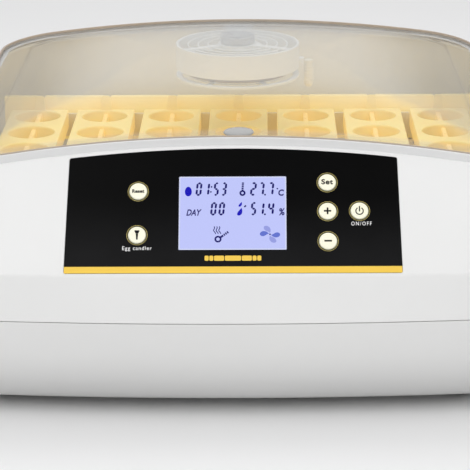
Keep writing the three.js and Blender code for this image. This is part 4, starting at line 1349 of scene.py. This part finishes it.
# ------------------------------------------------------------- fan and heater
def fan_unit():
    Y = 135.0
    def at(vf, a=0.0, z=0.0):
        c, s = math.cos(a), math.sin(a)
        return [(p[0] * c - p[1] * s, p[0] * s + p[1] * c + Y, p[2] + z) for p in vf[0]], vf[1]
    b = Build()
    prof = rounded([(56, 184), (56, 206), (53.5, 206), (53.5, 184)], 0.6, 3, closed=True)
    b.add(at(lathe(prof, 120, closed=True)))
    prof = rounded([(18, 203), (18, 206), (3.4, 206), (3.4, 203)], 0.5, 3, closed=True)
    b.add(at(lathe(prof, 72, closed=True)))
    for k in (90, 210, 330):
        a = math.radians(k)
        b.add(at(box_r(17, 54.2, -3.5, 3.5, 203.05, 205.95, 0.5, 2), a))
        b.add(at(box_r(46.5, 54.2, -2.5, 2.5, 184.2, 186.5, 0.3, 2), a))
    b.add(at(box_r(-13, 13, 55.2, 98.5, 193, 196.2, 0.6, 2)))
    b.add(at(box_r(55.2, 60, -4, 4, 186, 192, 0.5, 2)))
    # thin guard wires above the impeller
    for r in (27, 36, 45):
        b.add(at(tube([(r * math.cos(t), r * math.sin(t), 204.6) for t in np.linspace(0, 2 * math.pi, 72, endpoint=False)], 0.8, 8, closed=True)))
    b.piece("fan_frame", ["white"], "lid", slot="housing_white", replaces="fan_housing", sharp=34)
    m = Build()
    prof = rounded([(0, 214), (14.4, 214), (15.5, 212.6), (15.5, 206.3), (2, 206.3), (2, 189), (0, 189)], 0.6, 3)
    m.add(at(lathe(prof, 64)))
    m.piece("fan_drive", ["steel"], "lid", slot="motor_steel", replaces="fan_motor", sharp=34)
    # impeller: hub and five curved blades
    f = Build()
    prof = rounded([(2.5, 188.5), (9.4, 188.5), (8.6, 200), (2.5, 200)], 0.8, 3, closed=True)
    f.add(at(lathe(prof, 48, closed=True)))
    for k in range(5):
        a0 = math.radians(72 * k)
        top_v, bot_v = [], []
        NR, NW = 14, 8
        for i in range(NR + 1):
            tr_ = i / NR
            r = 7.5 + (49.5 - 7.5) * tr_
            half = (5 + 7.5 * math.sin(min(1, tr_ * 1.25) * math.pi * 0.5)) * (1 - 0.35 * max(0, tr_ - 0.85) / 0.15)
            pitch = math.radians(30 - 10 * tr_)
            sweep = -3.0 * tr_ * tr_
            for j in range(NW + 1):
                q = -1 + 2 * j / NW
                c = q * half
                camber = 0.9 * (1 - q * q)
                yy = (c * math.cos(pitch) + sweep)
                zz = 194.5 + c * math.sin(pitch) + camber
                th = 0.9 * (1 - q ** 4) * (1 - 0.5 * tr_) + 0.12
                top_v.append((r, yy, zz + th))
                bot_v.append((r, yy, zz - th))
        n = (NR + 1) * (NW + 1)
        ff = []
        for i in range(NR):
            for j in range(NW):
                a = i * (NW + 1) + j
                ff.append((a, a + 1, a + NW + 2, a + NW + 1))
                ff.append((n + a, n + a + NW + 1, n + a + NW + 2, n + a + 1))
        for i in range(NR):
            a, c = i * (NW + 1), (i + 1) * (NW + 1)
            ff.append((a, c, n + c, n + a))
            a, c = a + NW, c + NW
            ff.append((c, a, n + a, n + c))
        for j in range(NW):
            ff.append((j + 1, j, n + j, n + j + 1))
            e = NR * (NW + 1) + j
            ff.append((e, e + 1, n + e + 1, n + e))
        vv = [p for p in top_v + bot_v]
        f.add(at((vv, ff), a0))
    f.piece("fan_blades", ["fan"], "impeller", slot="impeller_grey", replaces="fan_impeller", sharp=50)
    h = Build()
    h.add(at(tube([(46 * math.cos(t), 46 * math.sin(t), 181.4) for t in np.linspace(0, 2 * math.pi, 120, endpoint=False)], 2.3, 14, closed=True)))
    h.piece("heater_coil", ["heater"], "lid", slot="heater_steel", replaces="heater_ring", sharp=60)
    # heat guard: rim, spokes and rings
    g = Build()
    prof = rounded([(51, 175.6), (56, 175.6), (56, 178), (51, 178)], 0.5, 2, closed=True)
    g.add(at(lathe(prof, 96, closed=True)))
    prof = rounded([(0, 175.6), (18, 175.6), (18, 178), (0, 178)], 0.5, 2)
    g.add(at(lathe(prof, 64)))
    for k in range(6):
        g.add(at(box_r(17.2, 51.8, -2.6, 2.6, 175.7, 177.9, 0.4, 2), math.radians(60 * k)))
    for r in (27, 35, 43):
        g.add(at(tube([(r * math.cos(t), r * math.sin(t), 176.8) for t in np.linspace(0, 2 * math.pi, 72, endpoint=False)], 0.8, 8, closed=True)))
    g.piece("heater_guard", ["inner"], "lid", slot="housing_white", replaces="heat_guard", sharp=34)
    s = Build()
    prof = rounded([(0, 165), (2.4, 165), (4.2, 168.2), (4.2, 190), (0, 190)], 0.8, 4)
    vv, ff = lathe(prof, 40, "z", (64.5, Y, 0))
    s.add((vv, ff))
    for k in range(5):
        vv, ff = lathe(rounded([(4.0, 171 + 3 * k), (4.55, 171.4 + 3 * k), (4.55, 172.2 + 3 * k), (4.0, 172.6 + 3 * k)], 0.2, 2, closed=True), 40, "z", (64.5, Y, 0), closed=True)
        s.add((vv, ff))
    s.piece("probe_tip", ["drive"], "lid", slot="impeller_grey", replaces="sensor_probe", sharp=40)


fan_unit()


# ------------------------------------------------- feet, filler plug, fittings
def small():
    for name, sx, sy in (("front_left", -1, -1), ("front_right", 1, -1), ("rear_left", -1, 1), ("rear_right", 1, 1)):
        prof = rounded([(0, 0.9), (5.5, 0.9), (6.2, 0.0), (9.9, 0.0), (12, 4.7), (0, 4.7)], 0.5, 3)
        v, f = lathe(prof, 56, "z", (sx * 175, sy * 190, 0))
        make("foot_pad_" + name, v, f, ["foot"], "base", slot="rubber_black", replaces="foot_" + name, sharp=40)
    # the filler plug: a ribbed cap with a finger slot
    prof = [(0, -226), (5.0, -226), (5.3, -226.4), (5.5, -239.8), (5.6, -240.6), (9.6, -240.45), (10.0, -240.7), (10.1, -241.4), (9.9, -243.2), (9.5, -243.7), (8.6, -243.8), (7.6, -243.2), (0, -243.0)]
    v, f = lathe(prof, 96, "x", (0, -120, 42))
    out = []
    for x, y, z in v:
        r = math.hypot(y + 120, z - 42)
        if r > 9 and -243.5 < x < -240.5:
            a = math.atan2(z - 42, y + 120)
            k = 1 - 0.28 * (0.5 + 0.5 * math.cos(32 * a)) / r
            y, z = -120 + (y + 120) * k, 42 + (z - 42) * k
        out.append((x, y, z))
    b = Build()
    b.add((out, f))
    b.add(box_r(-243.75, -242.6, -126.2, -113.8, 41.0, 43.0, 0.35, 2))
    b.piece("plug_cap", ["dark"], "filler_plug", slot="plug_dark", replaces="filler_plug", sharp=45)


small()

# the rails and the floor grid carry the painted warm glow of rack_plastic
for n in ("rack_front_rail", "rack_rear_rail", "rack_left_rail", "rack_right_rail"):
    cad(n, "ivory", 0.5, 2)
cad("floor_grid", "ivory", 0.5, 2)
# the water tray carries painted warm shade and glow: a tan tint and faint emission
cad("water_tray", "water", 0.7, 3)
cad("filler_port", "base", 0.4, 2)
cad("drive_bar", "drive", 0.3, 2)
cad("drive_pinion", "drive", 0.25, 2)
cad("turner_motor", "steel", 0.6, 3)
cad("lcd_module", "chip", 0.4, 2)
cad("control_board", "board", 0.15, 1)
cad("electronics_cover", "inner", 0.5, 2)
for i in range(4):
    cad(f"cover_screw_{i + 1}", "steel", 0.2, 2)
cad("power_inlet", "dark", 0.35, 2)
